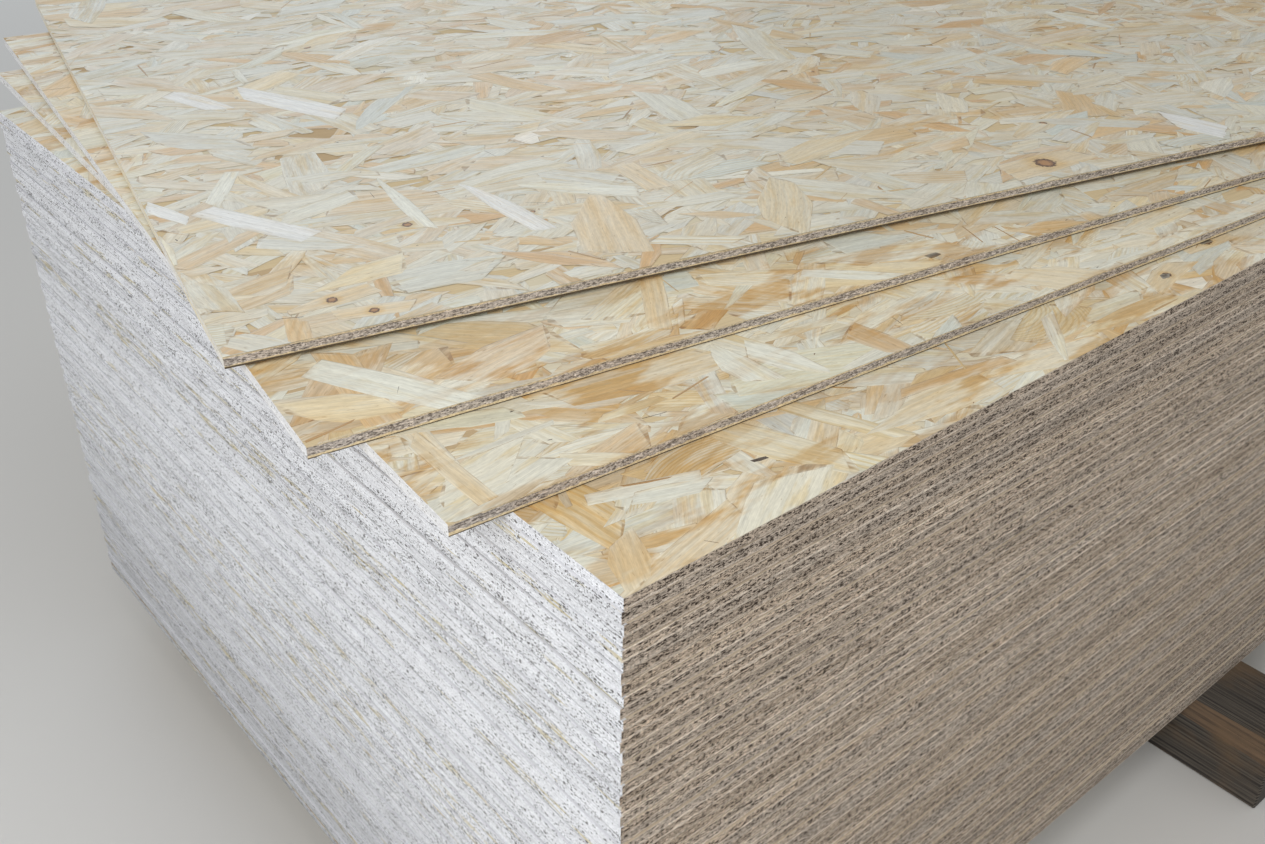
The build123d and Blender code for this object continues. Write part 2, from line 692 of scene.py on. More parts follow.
@dataclass(frozen=True)
class PanelFinish:
    """Sawn edges of a panel: pale face layers, a dark core of strand ends, and coated short ends."""

    half_length: float
    name: str = "panel_body"
    skin_under: float = 0.27
    skin_over: float = 0.93
    skin: Colour = linear(229, 215, 198)
    core: Colour = linear(192, 178, 163)
    loose_core: Colour = linear(192, 181, 170)
    loose_skin: Colour = linear(218, 198, 158)
    void_and_gap_shadow: Colour = linear(52, 38, 28)
    amber: Colour = linear(214, 176, 112)
    coat: Colour = linear(250, 251, 254)
    coat_streak: Colour = linear(218, 218, 221)
    coat_ledge: Colour = linear(216, 216, 219)
    coat_speck: Colour = linear(62, 55, 50)
    bare_band: Colour = linear(206, 190, 134)
    loose_end: Colour = linear(234, 222, 190)
    pressed_face: Colour = linear(196, 180, 158)
    face_tones: tuple[Colour, ...] = (
        linear(210, 200, 174), linear(206, 186, 148), linear(216, 210, 190), linear(188, 164, 128),
    )
    warmer: tuple[float, float, float] = (1.04, 0.98, 0.90)
    ledge: float = 3 * MM
    specular: float = 0.25
    relief: float = 0.8 * MM

    def build(self) -> bpy.types.Material:
        """Lay the nodes. The panels' meshes give a map and side values.

        Returns:
            The finished material.
        """
        w = Wires(self.name)
        at = EdgePlaces(w)
        skin = self.skin_share(w, at)
        voids = self.void_share(w, at, skin)
        colour = w.mix(at.short, self.sawn(w, at, skin, voids), self.coated(w, at))
        on_face = w.above(at.face, FaceKind.PRESSED.value - 0.5)
        colour = w.mix(on_face, colour, self.faces(w, at))

        height = w.math("MULTIPLY_ADD", at.mottle, 0.45, w.times(at.grit, 0.35))
        height = w.math("MULTIPLY_ADD", at.strand_end, 0.15, height)
        height = w.math("SUBTRACT", height, w.times(voids, 0.5))
        on_edge = w.math("LESS_THAN", at.face, FaceKind.PRESSED.value - 0.5)
        return w.finish(
            Base_Color=colour,
            Roughness=w.band(at.grit, 0.2, 0.8, 0.72, 0.9),
            Specular_IOR_Level=self.specular,
            Normal=w.bump(w.times(height, on_edge), self.relief),
        )

    def skin_share(self, w: Wires, at: EdgePlaces) -> Socket:
        """How much of the pale face layers shows on a sawn edge.

        Args:
            w: The material's wires.
            at: Places on the panel.

        Returns:
            A share from 0 to 1.
        """
        jitter = at.grain(140.0, 1.0, 12.0, 1.0)
        level = w.plus(at.share, w.band(at.wander, 0.2, 0.8, -0.06, 0.06))
        level = w.plus(level, w.band(jitter, 0.2, 0.8, -0.06, 0.06))
        skin = w.most(w.band(level, self.skin_under, self.skin_under - 0.10),
                      w.band(level, self.skin_over - 0.04, self.skin_over + 0.04))
        skin = w.times(skin, w.band(at.drift, 0.34, 0.60, 0.6, 1.0))
        skin = w.times(skin, w.band(at.own_light, 0.0, 1.0, 0.75, 1.0))
        skin = w.times(skin, w.band(at.grain(70.0, 1.5, 33.0), 0.36, 0.60, 0.5, 1.0))
        lip = w.most(w.band(level, 0.30, 0.22, 0.0, 0.95), w.band(level, 0.84, 0.92, 0.0, 0.75))
        return w.most(skin, w.times(at.loose, lip))

    def void_share(self, w: Wires, at: EdgePlaces, skin: Socket) -> Socket:
        """Small dark voids between strand ends, mostly in the core.

        Args:
            w: The material's wires.
            at: Places on the panel.
            skin: Share of the face layers.

        Returns:
            A share from 0 to 1.
        """
        large = at.specks(190.0, 5.2, 0.0, w.band(at.crowd, 0.35, 0.65, 0.20, 0.56), 0.45)
        small = at.specks(420.0, 9.0, 50.0, w.band(at.crowd, 0.35, 0.65, 0.30, 0.56), 0.43)
        voids = w.times(w.most(large, small), w.blend(skin, 0.95, 0.15))
        return w.times(voids, w.blend(at.loose, 1.0, 0.65))

    def sawn(self, w: Wires, at: EdgePlaces, skin: Socket, voids: Socket) -> Socket:
        """Colour of a bare sawn edge, with painted shade by height in the stack and a painted shadow
        line under the loose panels.

        Args:
            w: The material's wires.
            at: Places on the panel.
            skin: Share of the face layers.
            voids: Share of the dark voids.

        Returns:
            The colour.
        """
        warm_core = tuple(part * factor for part, factor in zip(self.core, self.warmer))
        core = w.mix(at.loose, w.mix(at.own_warm, self.core, warm_core), self.loose_core)
        core = w.shade(core, w.band(at.strand_end, 0.0, 1.0, 0.80, 1.14))
        core = w.shade(core, w.band(at.mottle, 0.32, 0.68, 0.62, 1.32))
        colour = w.mix(skin, core, w.mix(at.loose, self.skin, self.loose_skin))
        streak = at.grain(16.0, 22.0, 2.0, 4.0, 0.65)
        for value, low, high, dark, light in (
            (streak, 0.25, 0.75, 0.92, 1.07),
            (at.grit, 0.28, 0.72, 0.80, 1.18),
            (at.own_light, 0.0, 1.0, 0.92, 1.06),
            (at.drift, 0.25, 0.75, 0.94, 1.05),
            # Painted shade: boards in the middle of the stack lighter, those near the top and the
            # bottom darker
            (at.board, 66.0, 50.0, 0.98, 1.05),
            (at.board, -2.0, 40.0, 0.86, 1.0),
        ):
            colour = w.shade(colour, w.band(value, low, high, dark, light))
        glow = w.times(w.band(streak, 0.60, 0.68), w.band(at.drift, 0.58, 0.68))
        colour = w.mix(w.times(glow, 0.6), colour, self.amber)
        colour = w.mix(voids, colour, self.void_and_gap_shadow)
        # Painted shadow: a dark line along the bottom of each loose panel's edge, where the gap
        # beneath it lies in shade; wider under the lifted top panel
        painted_gap_shadow = w.blend(at.lifted, w.band(at.share, 0.12, 0.07), w.band(at.share, 0.20, 0.14))
        under = w.times(w.times(at.loose, painted_gap_shadow), 0.9)
        return w.mix(under, colour, self.void_and_gap_shadow)

    def coated(self, w: Wires, at: EdgePlaces) -> Socket:
        """Colour of a short end: a pale edge coat, rubbed, chipped and bare in places, with painted
        shade towards the lowest boards.

        Args:
            w: The material's wires.
            at: Places on the panel.

        Returns:
            The colour.
        """
        smear = at.grain(9.0, 1.6, 21.0, 4.0, 0.65)
        scratch = at.grain(34.0, 14.0, 25.0, 3.0, 0.6)
        rub = w.math("MULTIPLY_ADD", scratch, 0.45, w.times(at.mottle, 0.25))
        rub = w.math("MULTIPLY_ADD", smear, 0.30, rub)
        coat = w.mix(w.band(rub, 0.41, 0.54), self.coat_streak, self.coat)
        for value, low, high, dark, light in (
            (at.grit, 0.28, 0.72, 0.80, 1.08),
            (at.own_light, 0.0, 1.0, 0.95, 1.03),
            # Painted shade: the lowest boards' coat darker, and the top boards' a little darker
            (at.board, -4.0, 34.0, 0.70, 1.04),
            (at.board, 66.0, 44.0, 0.95, 1.0),
        ):
            coat = w.shade(coat, w.band(value, low, high, dark, light))

        bare = w.times(w.band(at.own_bare, 0.5, 0.8), w.band(at.drift, 0.46, 0.60, 0.0, 0.9))
        flecks = w.times(at.specks(30.0, 3.8, 90.0, bare, 0.60), w.band(scratch, 0.40, 0.52))
        coat = w.mix(w.times(flecks, 0.8), coat, self.bare_band)
        worn = w.times(w.band(at.own_bare, 0.2, 0.9, 0.35, 1.0),
                       w.band(at.crowd, 0.38, 0.66, 0.16, 0.85))
        chips = w.most(at.specks(430.0, 5.4, 130.0, worn, 0.40),
                       at.specks(210.0, 4.2, 170.0, w.times(worn, 0.35), 0.42))
        coat = w.mix(w.times(chips, 0.9), coat, self.coat_speck)
        seam = w.times(w.band(at.share, 0.08, 0.02), w.band(at.own_warm, 0.2, 0.9, 0.1, 0.6))
        coat = w.mix(seam, coat, self.coat_speck)
        coat = w.mix(w.times(at.loose, 0.3), coat, self.coat)
        bared = w.blend(at.lifted, 0.12, w.band(smear, 0.42, 0.58, 0.3, 0.9))
        return w.mix(w.times(at.loose, bared), coat, self.loose_end)

    def faces(self, w: Wires, at: EdgePlaces) -> Socket:
        """Colour of the body's faces: strand-like where open, plain where pressed on a neighbour.

        Args:
            w: The material's wires.
            at: Places on the panel.

        Returns:
            The colour.
        """
        _, own = w.cells(w.scaled((at.along, 9.0), (at.share, 42.0)))
        first, *others = self.face_tones
        colour = first
        for number, limit, tone in zip(own, (0.45, 0.7, 0.86), others):
            colour = w.mix(w.above(number, limit), colour, tone)
        fibre = w.noise(w.scaled((at.along, 25.0), (at.share, 900.0)), 3.0)
        colour = w.shade(colour, w.band(fibre, 0.2, 0.8, 0.86, 1.06))
        near_end = w.above(w.math("ABSOLUTE", at.along), self.half_length - self.ledge)
        plain = w.mix(near_end, self.pressed_face, self.coat_ledge)
        return w.mix(w.above(at.face, FaceKind.OPEN.value - 0.5), plain, colour)


@dataclass(frozen=True)
class TimberFinish:
    """Grey weathered softwood, sawn rough, with bark-brown wane and dark grain."""

    name: str = "weathered_timber"
    weathered: Colour = linear(94, 87, 78)
    fresh: Colour = linear(104, 84, 62)
    dark_grain: Colour = linear(42, 37, 33)
    wane_brown: Colour = linear(114, 90, 66)
    ring_turns: float = 1500.0
    relief: float = 1.2 * MM

    def build(self, centre: float, height: float, wane_side: int) -> bpy.types.Material:
        """Lay the nodes for one bearer.

        Args:
            centre: The bearer's middle along X.
            height: The bearer's height.
            wane_side: On which side of the middle the wane lies, -1 or 1.

        Returns:
            The bearer's own material.
        """
        w = Wires(f"{self.name}_{centre:+.2f}".replace("+", "p").replace("-", "m"))
        x, y, z = w.parts(w.node("ShaderNodeTexCoord").outputs["Object"])
        normal = w.parts(w.node("ShaderNodeNewGeometry").outputs["True Normal"])
        off = w.math("SUBTRACT", x, centre)
        grain = w.noise(w.scaled((off, 240.0), (y, 3.0), (z, 240.0)), 4.0, 0.6, 0.4)
        fine = w.noise(w.scaled((off, 900.0), (y, 18.0), (z, 900.0)), 3.0, 0.6)
        stain = w.noise(w.scaled((off, 9.0), (y, 6.0), (z, 9.0)), 4.0, 0.6)
        saw = w.noise(w.scaled((off, 4.0), (y, 240.0), (z, 4.0)), 1.0)

        on_end = w.above(w.math("ABSOLUTE", normal[1]), 0.7)
        rings = self.end_rings(w, off, z, height, wane_side)
        line = w.blend(on_end, w.band(grain, 0.36, 0.62), w.band(rings, -0.6, 0.9))
        colour = w.mix(line, self.dark_grain, self.weathered)
        colour = w.mix(w.band(stain, 0.50, 0.72), colour, self.fresh)
        colour = w.shade(colour, w.band(fine, 0.2, 0.8, 0.80, 1.15))
        toward = w.times(normal[0], float(wane_side))
        on_wane = w.times(w.band(toward, 0.15, 0.35), w.band(normal[2], 0.2, 0.4))
        on_wane = w.times(on_wane, w.band(grain, 0.34, 0.60, 0.35, 0.80))
        colour = w.mix(on_wane, colour, self.wane_brown)
        relief = w.math("MULTIPLY_ADD", line, 0.5, w.times(fine, 0.3))
        relief = w.math("MULTIPLY_ADD", saw, 0.2, relief)
        return w.finish(
            Base_Color=colour,
            Roughness=w.band(fine, 0.2, 0.8, 0.75, 0.92),
            Normal=w.bump(relief, self.relief),
        )

    def end_rings(self, w: Wires, off: Socket, z: Socket, height: float, wane_side: int) -> Socket:
        """Growth rings on a bearer's sawn ends, about a pith that lies below the timber.

        Args:
            w: The material's wires.
            off: Metres from the bearer's middle.
            z: Metres above the floor.
            height: The bearer's height.
            wane_side: On which side of the middle the wane lies, -1 or 1.

        Returns:
            A wave from -1 to 1.
        """
        down = w.plus(z, 0.6 * height)
        away = w.plus(off, wane_side * 0.25 * height)
        reach = w.math("SQRT", w.math("MULTIPLY_ADD", off, away, w.times(down, down)))
        wobble = w.noise(w.vector(w.times(off, 30.0), 0.0, w.times(z, 30.0)))
        return w.math("SINE", w.math("MULTIPLY_ADD", reach, self.ring_turns, w.times(wobble, 5.0)))


@dataclass(frozen=True)
class StrandPalette:
    """The tones that strands come in, how often each comes and how far it strays."""

    tones: tuple[Colour, ...] = (
        linear(208, 206, 190), linear(215, 209, 186), linear(218, 201, 162), linear(210, 181, 132),
        linear(200, 203, 193), linear(226, 223, 207), linear(202, 164, 108),
    )
    shares: tuple[float, ...] = (0.20, 0.17, 0.16, 0.19, 0.12, 0.06, 0.10)
    bits: tuple[Colour, ...] = (linear(74, 52, 36), linear(112, 80, 50), linear(56, 44, 36))
    slivers: tuple[Colour, ...] = (linear(188, 154, 106), linear(172, 138, 92), linear(206, 180, 132))
    stray: float = 0.03
    quiet_share: float = 0.66
    quiet_own: tuple[float, float] = (0.05, 0.35)
    loud_own: tuple[float, float] = (0.5, 0.95)

    def draw(self, rng: np.random.Generator, count: int) -> np.ndarray:
        """Draw plain strands' tints.

        Args:
            rng: Where the draws come from.
            count: How many.

        Returns:
            Rows of red, green, blue and how much of the tint is the strand's own.
        """
        picks = rng.choice(len(self.tones), count, p=np.array(self.shares) / sum(self.shares))
        tints = self.strayed(rng, np.array(self.tones)[picks])
        quiet = rng.random(count) < self.quiet_share
        tints[:, 3] = np.where(quiet, rng.uniform(*self.quiet_own, count),
                               rng.uniform(*self.loud_own, count))
        return tints

    def draw_bits(self, rng: np.random.Generator, count: int) -> np.ndarray:
        """Draw this many bark bits' tints."""
        return self.strayed(rng, np.array(self.bits)[rng.integers(0, len(self.bits), count)])

    def draw_slivers(self, rng: np.random.Generator, count: int) -> np.ndarray:
        """Draw this many resin-brown slivers' tints."""
        return self.strayed(rng, np.array(self.slivers)[rng.integers(0, len(self.slivers), count)])

    def strayed(self, rng: np.random.Generator, tints: np.ndarray) -> np.ndarray:
        """Let each tint stray a little in light and in hue.

        Args:
            rng: Where the draws come from.
            tints: Rows of red, green and blue.

        Returns:
            The strayed tints, each wholly its own.
        """
        tints = tints * (1 + rng.normal(0, self.stray, (len(tints), 1)))
        tints = tints * (1 + rng.normal(0, self.stray / 3, (len(tints), 3)))
        return np.column_stack((np.clip(tints, 0.01, 0.9), np.ones(len(tints))))


@dataclass(frozen=True)
class MarkedStrand:
    """A strand that stands out, listed one by one.

    Attributes:
        x: Metres along the panel from its middle.
        y: Metres across the panel from its middle.
        length: Its length in metres.
        width: Its width in metres.
        angle: Degrees from the panel's length.
        tone: Its colour.
        knot: Its knot's radius in metres, or 0 for none.
    """

    x: float
    y: float
    length: float
    width: float
    angle: float
    tone: Colour
    knot: float = 0.0


@dataclass(frozen=True)
class Spread:
    """A size that varies: its middle, how far it strays, and its limits."""

    middle: float
    stray: float
    least: float
    most: float

    def draw(self, rng: np.random.Generator, total: int) -> np.ndarray:
        """Draw this many sizes."""
        return np.clip(self.middle * rng.lognormal(0, self.stray, total), self.least, self.most)


@dataclass(frozen=True)
class BitSize:
    """The ranges, in millimetres, that one kind of bit is drawn from."""

    length: tuple[float, float]
    width: tuple[float, float]


SPLINTER = BitSize((8, 30), (0.3, 0.7))
CRUMB = BitSize((1.2, 5), (0.5, 1.6))
SLIVER = BitSize((18, 70), (0.8, 3.2))


@dataclass
class StrandLay:
    """Strands that lie over and under each other on one panel's upper face.

    Each strand has an outline of eight points: a tip, three pairs of side points and a tip.
    """

    name: str
    place: PanelPlace
    cover: PanelPlace | None
    seed: int
    relief: float
    marks: tuple[MarkedStrand, ...] = ()
    per_square_metre: float = 1780.0
    bits_per_square_metre: float = 130.0
    palette: StrandPalette = field(default_factory=StrandPalette)
    length: Spread = Spread(95 * MM, 0.30, 30 * MM, 190 * MM)
    width: Spread = Spread(21 * MM, 0.50, 5 * MM, 55 * MM)
    spread: tuple[float, float] = (24.0, 66.0)
    wild_share: float = 0.45
    pointed_share: float = 0.22
    inset_share: float = 0.15
    bowed_share: float = 0.35
    ringed_share: float = 0.10
    knotty_share: float = 0.012
    splinters_below: float = 0.2
    slivers_above: float = 0.62
    wide_on_top: float = 18.0
    hidden_margin: float = 70 * MM
    overhang: float = 45 * MM
    cell: float = 4 * MM
    layers: float = 6.0
    skin: float = 0.02 * MM
    step: float = 0.002 * MM
    sheet: float = 0.05 * MM

    ROWS = 17
    COLUMNS = 7
    OUTLINE = ((0, 1), (1, 3), (3, 5), (5, 7), (7, 6), (6, 4), (4, 2), (2, 0))
    TOPS = ((0, 1, 2), (1, 3, 4, 2), (3, 5, 6, 4), (5, 7, 6))

    def scatter(self) -> Strands:
        """Draw every strand that is not hidden, in the order in which they are laid.

        Returns:
            Each value's array, one row per strand.
        """
        rng = np.random.default_rng(self.seed)
        reach = self.place.half_size + self.overhang
        area = 4 * reach[0] * reach[1]
        strands = self.draw(rng, reach, int(self.per_square_metre * area))
        order = np.argsort(rng.random(len(strands["width"])) + self.wide_on_top * strands["width"])
        strands = {key: value[order] for key, value in strands.items()}
        bits = self.draw_bits(rng, reach, int(self.bits_per_square_metre * area))
        marks = self.draw_marks(rng, reach)
        strands = {key: np.concatenate((value, marks[key], bits[key]))
                   for key, value in strands.items()}
        shown = np.ones(len(strands["width"]), bool)
        if self.cover is not None:
            flat = self.place.to_world(np.column_stack((strands["centre"], 0 * strands["width"])))
            shown = ~self.cover.covers(flat[:, :2], self.hidden_margin)
        return {key: value[shown] for key, value in strands.items()}

    def draw(self, rng: np.random.Generator, reach: np.ndarray, total: int) -> Strands:
        """Draw plain strands.

        Args:
            rng: Where the draws come from.
            reach: How far from the panel's middle the strands may lie.
            total: How many.

        Returns:
            Each value's array, one row per strand.
        """
        length = self.length.draw(rng, total)
        width = np.minimum(self.width.draw(rng, total), 0.5 * length)
        wild = rng.random(total) < self.wild_share
        ends = rng.uniform(0.72, 1.0, (total, 2))
        pointed = rng.random((total, 2)) < self.pointed_share
        ends = np.where(pointed, rng.uniform(0.15, 0.5, (total, 2)), ends)
        sides = 1 + rng.uniform(-0.12, 0.12, (total, 3, 2))
        sides[:, (0, 2), :] *= ends[:, :, None]
        slant = rng.normal(0, 0.45, (total, 2)) * width[:, None]
        tip = rng.uniform(0.0, 0.25, (total, 2)) * width[:, None] * ends
        knotty = rng.random(total) < self.knotty_share
        return {
            "centre": rng.uniform(-reach, reach, (total, 2)),
            "length": length,
            "width": width,
            "angle": np.radians(rng.normal(0, np.where(wild, self.spread[1], self.spread[0]))),
            "sides": sides,
            "slant": np.clip(slant, -0.2 * length[:, None], 0.2 * length[:, None]),
            "tip": np.minimum(tip, 0.3 * length[:, None]),
            "tip_side": rng.uniform(-0.7, 0.7, (total, 2)),
            "bend": rng.normal(0, 0.014, total) * length,
            "inset": MM * np.where(rng.random(total) < self.inset_share,
                                   rng.uniform(0.2, 2.6, total), 0.15),
            "tint": self.palette.draw(rng, total),
            "growth": np.column_stack((
                rng.uniform(2.5, 9.0, total) * MM,
                rng.normal(0, 1, total) * np.where(rng.random(total) < self.bowed_share, 6.0, 0.6),
                np.where(rng.random(total) < self.ringed_share, rng.uniform(0.35, 0.85, total),
                         0.6 * rng.beta(0.8, 3.0, total)),
            )),
            "flake": np.column_stack((length / 2, width / 2, rng.uniform(0, 900, total))),
            "knot": np.column_stack((
                rng.uniform(-0.3, 0.3, total) * length,
                rng.uniform(-0.3, 0.3, total) * width,
                np.where(knotty, rng.uniform(1.5, 7.0, total) * MM, 0.0),
            )),
        }

    def resized(self, values: Strands, length: np.ndarray, width: np.ndarray) -> Strands:
        """Give drawn strands other sizes, and the outline details that go with them.

        Args:
            values: The strands' values. Changed in place.
            length: Their new lengths.
            width: Their new widths.

        Returns:
            The same values.
        """
        values["slant"] *= (width / values["width"])[:, None]
        values["tip"] *= (width / values["width"])[:, None]
        values["bend"] *= 0.3 * length / values["length"]
        values["length"], values["width"] = length, width
        values["flake"][:, 0], values["flake"][:, 1] = length / 2, width / 2
        return values

    def draw_bits(self, rng: np.random.Generator, reach: np.ndarray, total: int) -> Strands:
        """Draw crumbs of bark, dark splinters and brown slivers, which lie on top of all strands.

        Args:
            rng: Where the draws come from.
            reach: How far from the panel's middle the bits may lie.
            total: How many.

        Returns:
            Each value's array, one row per bit.
        """
        bits = self.draw(rng, reach, total)
        kind = rng.random(total)
        splinter, sliver = kind < self.splinters_below, kind > self.slivers_above
        length = np.where(splinter, rng.uniform(*SPLINTER.length, total),
                          rng.uniform(*CRUMB.length, total))
        width = np.where(splinter, rng.uniform(*SPLINTER.width, total),
                         rng.uniform(*CRUMB.width, total))
        length = np.where(sliver, rng.uniform(*SLIVER.length, total), length) * MM
        width = np.where(sliver, rng.uniform(*SLIVER.width, total), width) * MM
        bits = self.resized(bits, length, width)
        bits["tint"] = np.where(sliver[:, None], self.palette.draw_slivers(rng, total),
                                self.palette.draw_bits(rng, total))
        bits["growth"][:, 2] = 0.0
        bits["knot"][:, 2] = 0.0
        return bits

    def draw_marks(self, rng: np.random.Generator, reach: np.ndarray) -> Strands:
        """Draw the listed strands.

        Args:
            rng: Where the draws come from.
            reach: How far from the panel's middle plain strands may lie.

        Returns:
            Each value's array, one row per strand.
        """
        total = len(self.marks)
        values = self.draw(rng, reach, total)
        wanted = np.array([(m.x, m.y, m.length, m.width, m.angle, m.knot) for m in self.marks])
        wanted = wanted.reshape(total, 6)
        values = self.resized(values, wanted[:, 2], wanted[:, 3])
        values["centre"] = wanted[:, :2]
        values["angle"] = np.radians(wanted[:, 4])
        values["tip"] *= 0.4
        values["slant"] *= 0.6
        tones = np.array([mark.tone for mark in self.marks]).reshape(total, 3)
        light = tones.mean(axis=1)
        # White ones, the pale strands and the painted glints, melt a little into the panel's colour,
        # and bark doesn't at all
        own = np.select((light > 0.6, light < 0.1), (0.68, 1.0), 0.7)
        values["tint"] = np.column_stack((tones, own))
        values["growth"][:, 2] *= 0.4
        values["knot"] = np.column_stack((0 * wanted[:, 5], 0 * wanted[:, 5], wanted[:, 5]))
        return values

    def outline(self, strands: Strands, i: int) -> np.ndarray:
        """Outline of one strand.

        Args:
            strands: All strands.
            i: Which strand.

        Returns:
            For each of the 8 points: x and y on the panel, s and t from -1 to 1, and
            metres along and across the strand.
        """
        half_length, half_width = strands["length"][i] / 2, strands["width"][i] / 2
        points = np.empty((8, 6))
        pairs = points[1:7].reshape(3, 2, 6)
        signs = np.array((-1.0, 1.0))
        stations = np.array((-1.0, 0.0, 1.0))
        inner = half_length - strands["tip"][i].mean()
        pairs[:, :, 4] = (stations * inner)[:, None]
        pairs[0, :, 4] += signs * strands["slant"][i, 0]
        pairs[2, :, 4] += signs * strands["slant"][i, 1]
        pairs[:, :, 5] = signs * half_width * strands["sides"][i]
        pairs[:, :, 2] = stations[:, None]
        pairs[:, :, 3] = signs
        for end, tip, pair in ((0, 0, 0), (1, 7, 2)):
            share = (strands["tip_side"][i, end] + 1) / 2
            points[tip] = pairs[pair, 0] * (1 - share) + pairs[pair, 1] * share
            points[tip, 4] += (-1 if end == 0 else 1) * strands["tip"][i, end]
        along, across = points[:, 4], points[:, 5]
        across = across + strands["bend"][i] * ((along / half_length) ** 2 - 0.5)
        cos, sin = math.cos(strands["angle"][i]), math.sin(strands["angle"][i])
        points[:, 0] = strands["centre"][i, 0] + along * cos - across * sin
        points[:, 1] = strands["centre"][i, 1] + along * sin + across * cos
        return points

    def lay(self, points: np.ndarray, levels: np.ndarray, low: np.ndarray) -> np.ndarray:
        """Lay one strand on what lies below it, and raise the levels there.

        Args:
            points: The strand's outline, from outline().
            levels: How many strands lie on each cell of the panel. Changed in place.
            low: The panel's lowest corner in the level map.

        Returns:
            The strand's level at each of its points.
        """
        rows = np.linspace(0, 2, self.ROWS)
        first = np.minimum(rows.astype(int), 1)
        share = (rows - first)[:, None, None]
        pairs = points[1:7, :2].reshape(3, 2, 2)
        rails = pairs[first] * (1 - share) + pairs[first + 1] * share
        cross = np.linspace(0, 1, self.COLUMNS)[None, :, None]
        spots = rails[:, :1] * (1 - cross) + rails[:, 1:] * cross
        cells = ((spots - low) / self.cell).astype(int)
        cells = np.clip(cells, 0, np.array(levels.shape) - 1)
        under = levels[cells[..., 0], cells[..., 1]].max(axis=1)
        # Each of the three stations clears the rows about it, and the strand is straight between
        station = np.array((under[:6].max(), under[3:14].max(), under[11:].max())) + 1
        rise = station[first] * (1 - share[:, 0, 0]) + station[first + 1] * share[:, 0, 0]
        flat = cells.reshape(-1, 2)
        np.maximum.at(levels, (flat[:, 0], flat[:, 1]), np.repeat(rise, self.COLUMNS))
        return station[[0, 0, 0, 1, 1, 2, 2, 2]]

    def clipped(self, ring: list[np.ndarray], inset: float) -> list[np.ndarray]:
        """Cut a polygon off at the panel's four sawn edges.

        Args:
            ring: Its points, whose first two numbers are x and y on the panel.
            inset: How far in from the edges it is cut.

        Returns:
            What is left of it, or an empty list.
        """
        edges = self.place.half_size - inset
        for axis in (0, 1):
            for sign in (-1.0, 1.0):
                kept: list[np.ndarray] = []
                for a, b in zip(ring, ring[1:] + ring[:1]):
                    in_a, in_b = edges[axis] - sign * a[axis], edges[axis] - sign * b[axis]
                    if in_a >= 0:
                        kept.append(a)
                    if (in_a >= 0) != (in_b >= 0):
                        kept.append(a + (b - a) * (in_a / (in_a - in_b)))
                ring = kept
                if len(ring) < 3:
                    return []
        return ring

    def build(self, material: bpy.types.Material) -> bpy.types.Object:
        """Make all strands as one mesh of thin closed flakes.

        Args:
            material: What the strands wear.

        Returns:
            The finished piece.
        """
        strands = self.scatter()
        low = -self.place.half_size - 2 * self.overhang
        levels = np.zeros(np.ceil(-2 * low / self.cell).astype(int))
        corners: list[np.ndarray] = []
        owner: list[int] = []
        faces: list[list[int]] = []
        edges = self.place.half_size
        for i in range(len(strands["length"])):
            points = self.outline(strands, i)
            points = np.column_stack((points, self.lay(points, levels, low)))
            if (np.abs(points[:, :2]) < edges - strands["inset"][i]).all():
                self.add_whole(points, i, corners, owner, faces)
            else:
                self.add_cut(points, strands["inset"][i], i, corners, owner, faces)
        return self.to_object(np.array(corners), np.array(owner), faces, strands, material)

    def add_whole(self, points: np.ndarray, i: int, corners: list[np.ndarray],
                  owner: list[int], faces: list[list[int]]) -> None:
        """Add a strand that lies wholly on the panel, its upper face last.

        Args:
            points: The strand's outline with its levels.
            i: Which strand.
            corners: All corners so far. Added to.
            owner: Each corner's strand. Added to.
            faces: All faces so far. Added to.
        """
        base = len(corners)
        for side in (0.0, 1.0):
            corners.extend(np.append(point, side) for point in points)
            owner.extend([i] * len(points))
        for ring in self.TOPS:
            faces.append([base + k for k in reversed(ring)])
        for a, b in self.OUTLINE:
            faces.append([base + a, base + b, base + b + 8, base + a + 8])
        for ring in self.TOPS:
            faces.append([base + 8 + k for k in ring])

    def add_cut(self, points: np.ndarray, inset: float, i: int, corners: list[np.ndarray],
                owner: list[int], faces: list[list[int]]) -> None:
        """Add a strand that the saw cut off at the panel's edge.

        Args:
            points: The strand's outline with its levels.
            inset: How far in from the panel's edge the strand ends.
            i: Which strand.
            corners: All corners so far. Added to.
            owner: Each corner's strand. Added to.
            faces: All faces so far. Added to.
        """
        known: dict[tuple[float, float, float], int] = {}

        def corner(point: np.ndarray, side: float) -> int:
            """Add the corner at a point, if it isn't there yet.

            Args:
                point: The point's row.
                side: 1 above or 0 below.

            Returns:
                The corner's number.
            """
            key = (round(point[0], 6), round(point[1], 6), side)
            if key not in known:
                known[key] = len(corners)
                corners.append(np.append(point, side))
                owner.append(i)
            return known[key]

        rings = []
        inner = set()
        for ring in self.TOPS:
            cut = self.clipped([points[k] for k in ring], inset)
            top = [corner(point, 1.0) for point in cut]
            top = [a for a, b in zip(top, top[1:] + top[:1]) if a != b]
            if len(top) < 3:
                continue
            below = {corner(point, 1.0): corner(point, 0.0) for point in cut}
            rings.append((top, below))
            inner.update(zip(top, top[1:] + top[:1]))
        for top, below in rings:
            faces.append([below[a] for a in reversed(top)])
        for top, below in rings:
            for a, b in zip(top, top[1:] + top[:1]):
                if (b, a) not in inner:
                    faces.append([below[a], below[b], b, a])
        faces.extend(top for top, _ in rings)

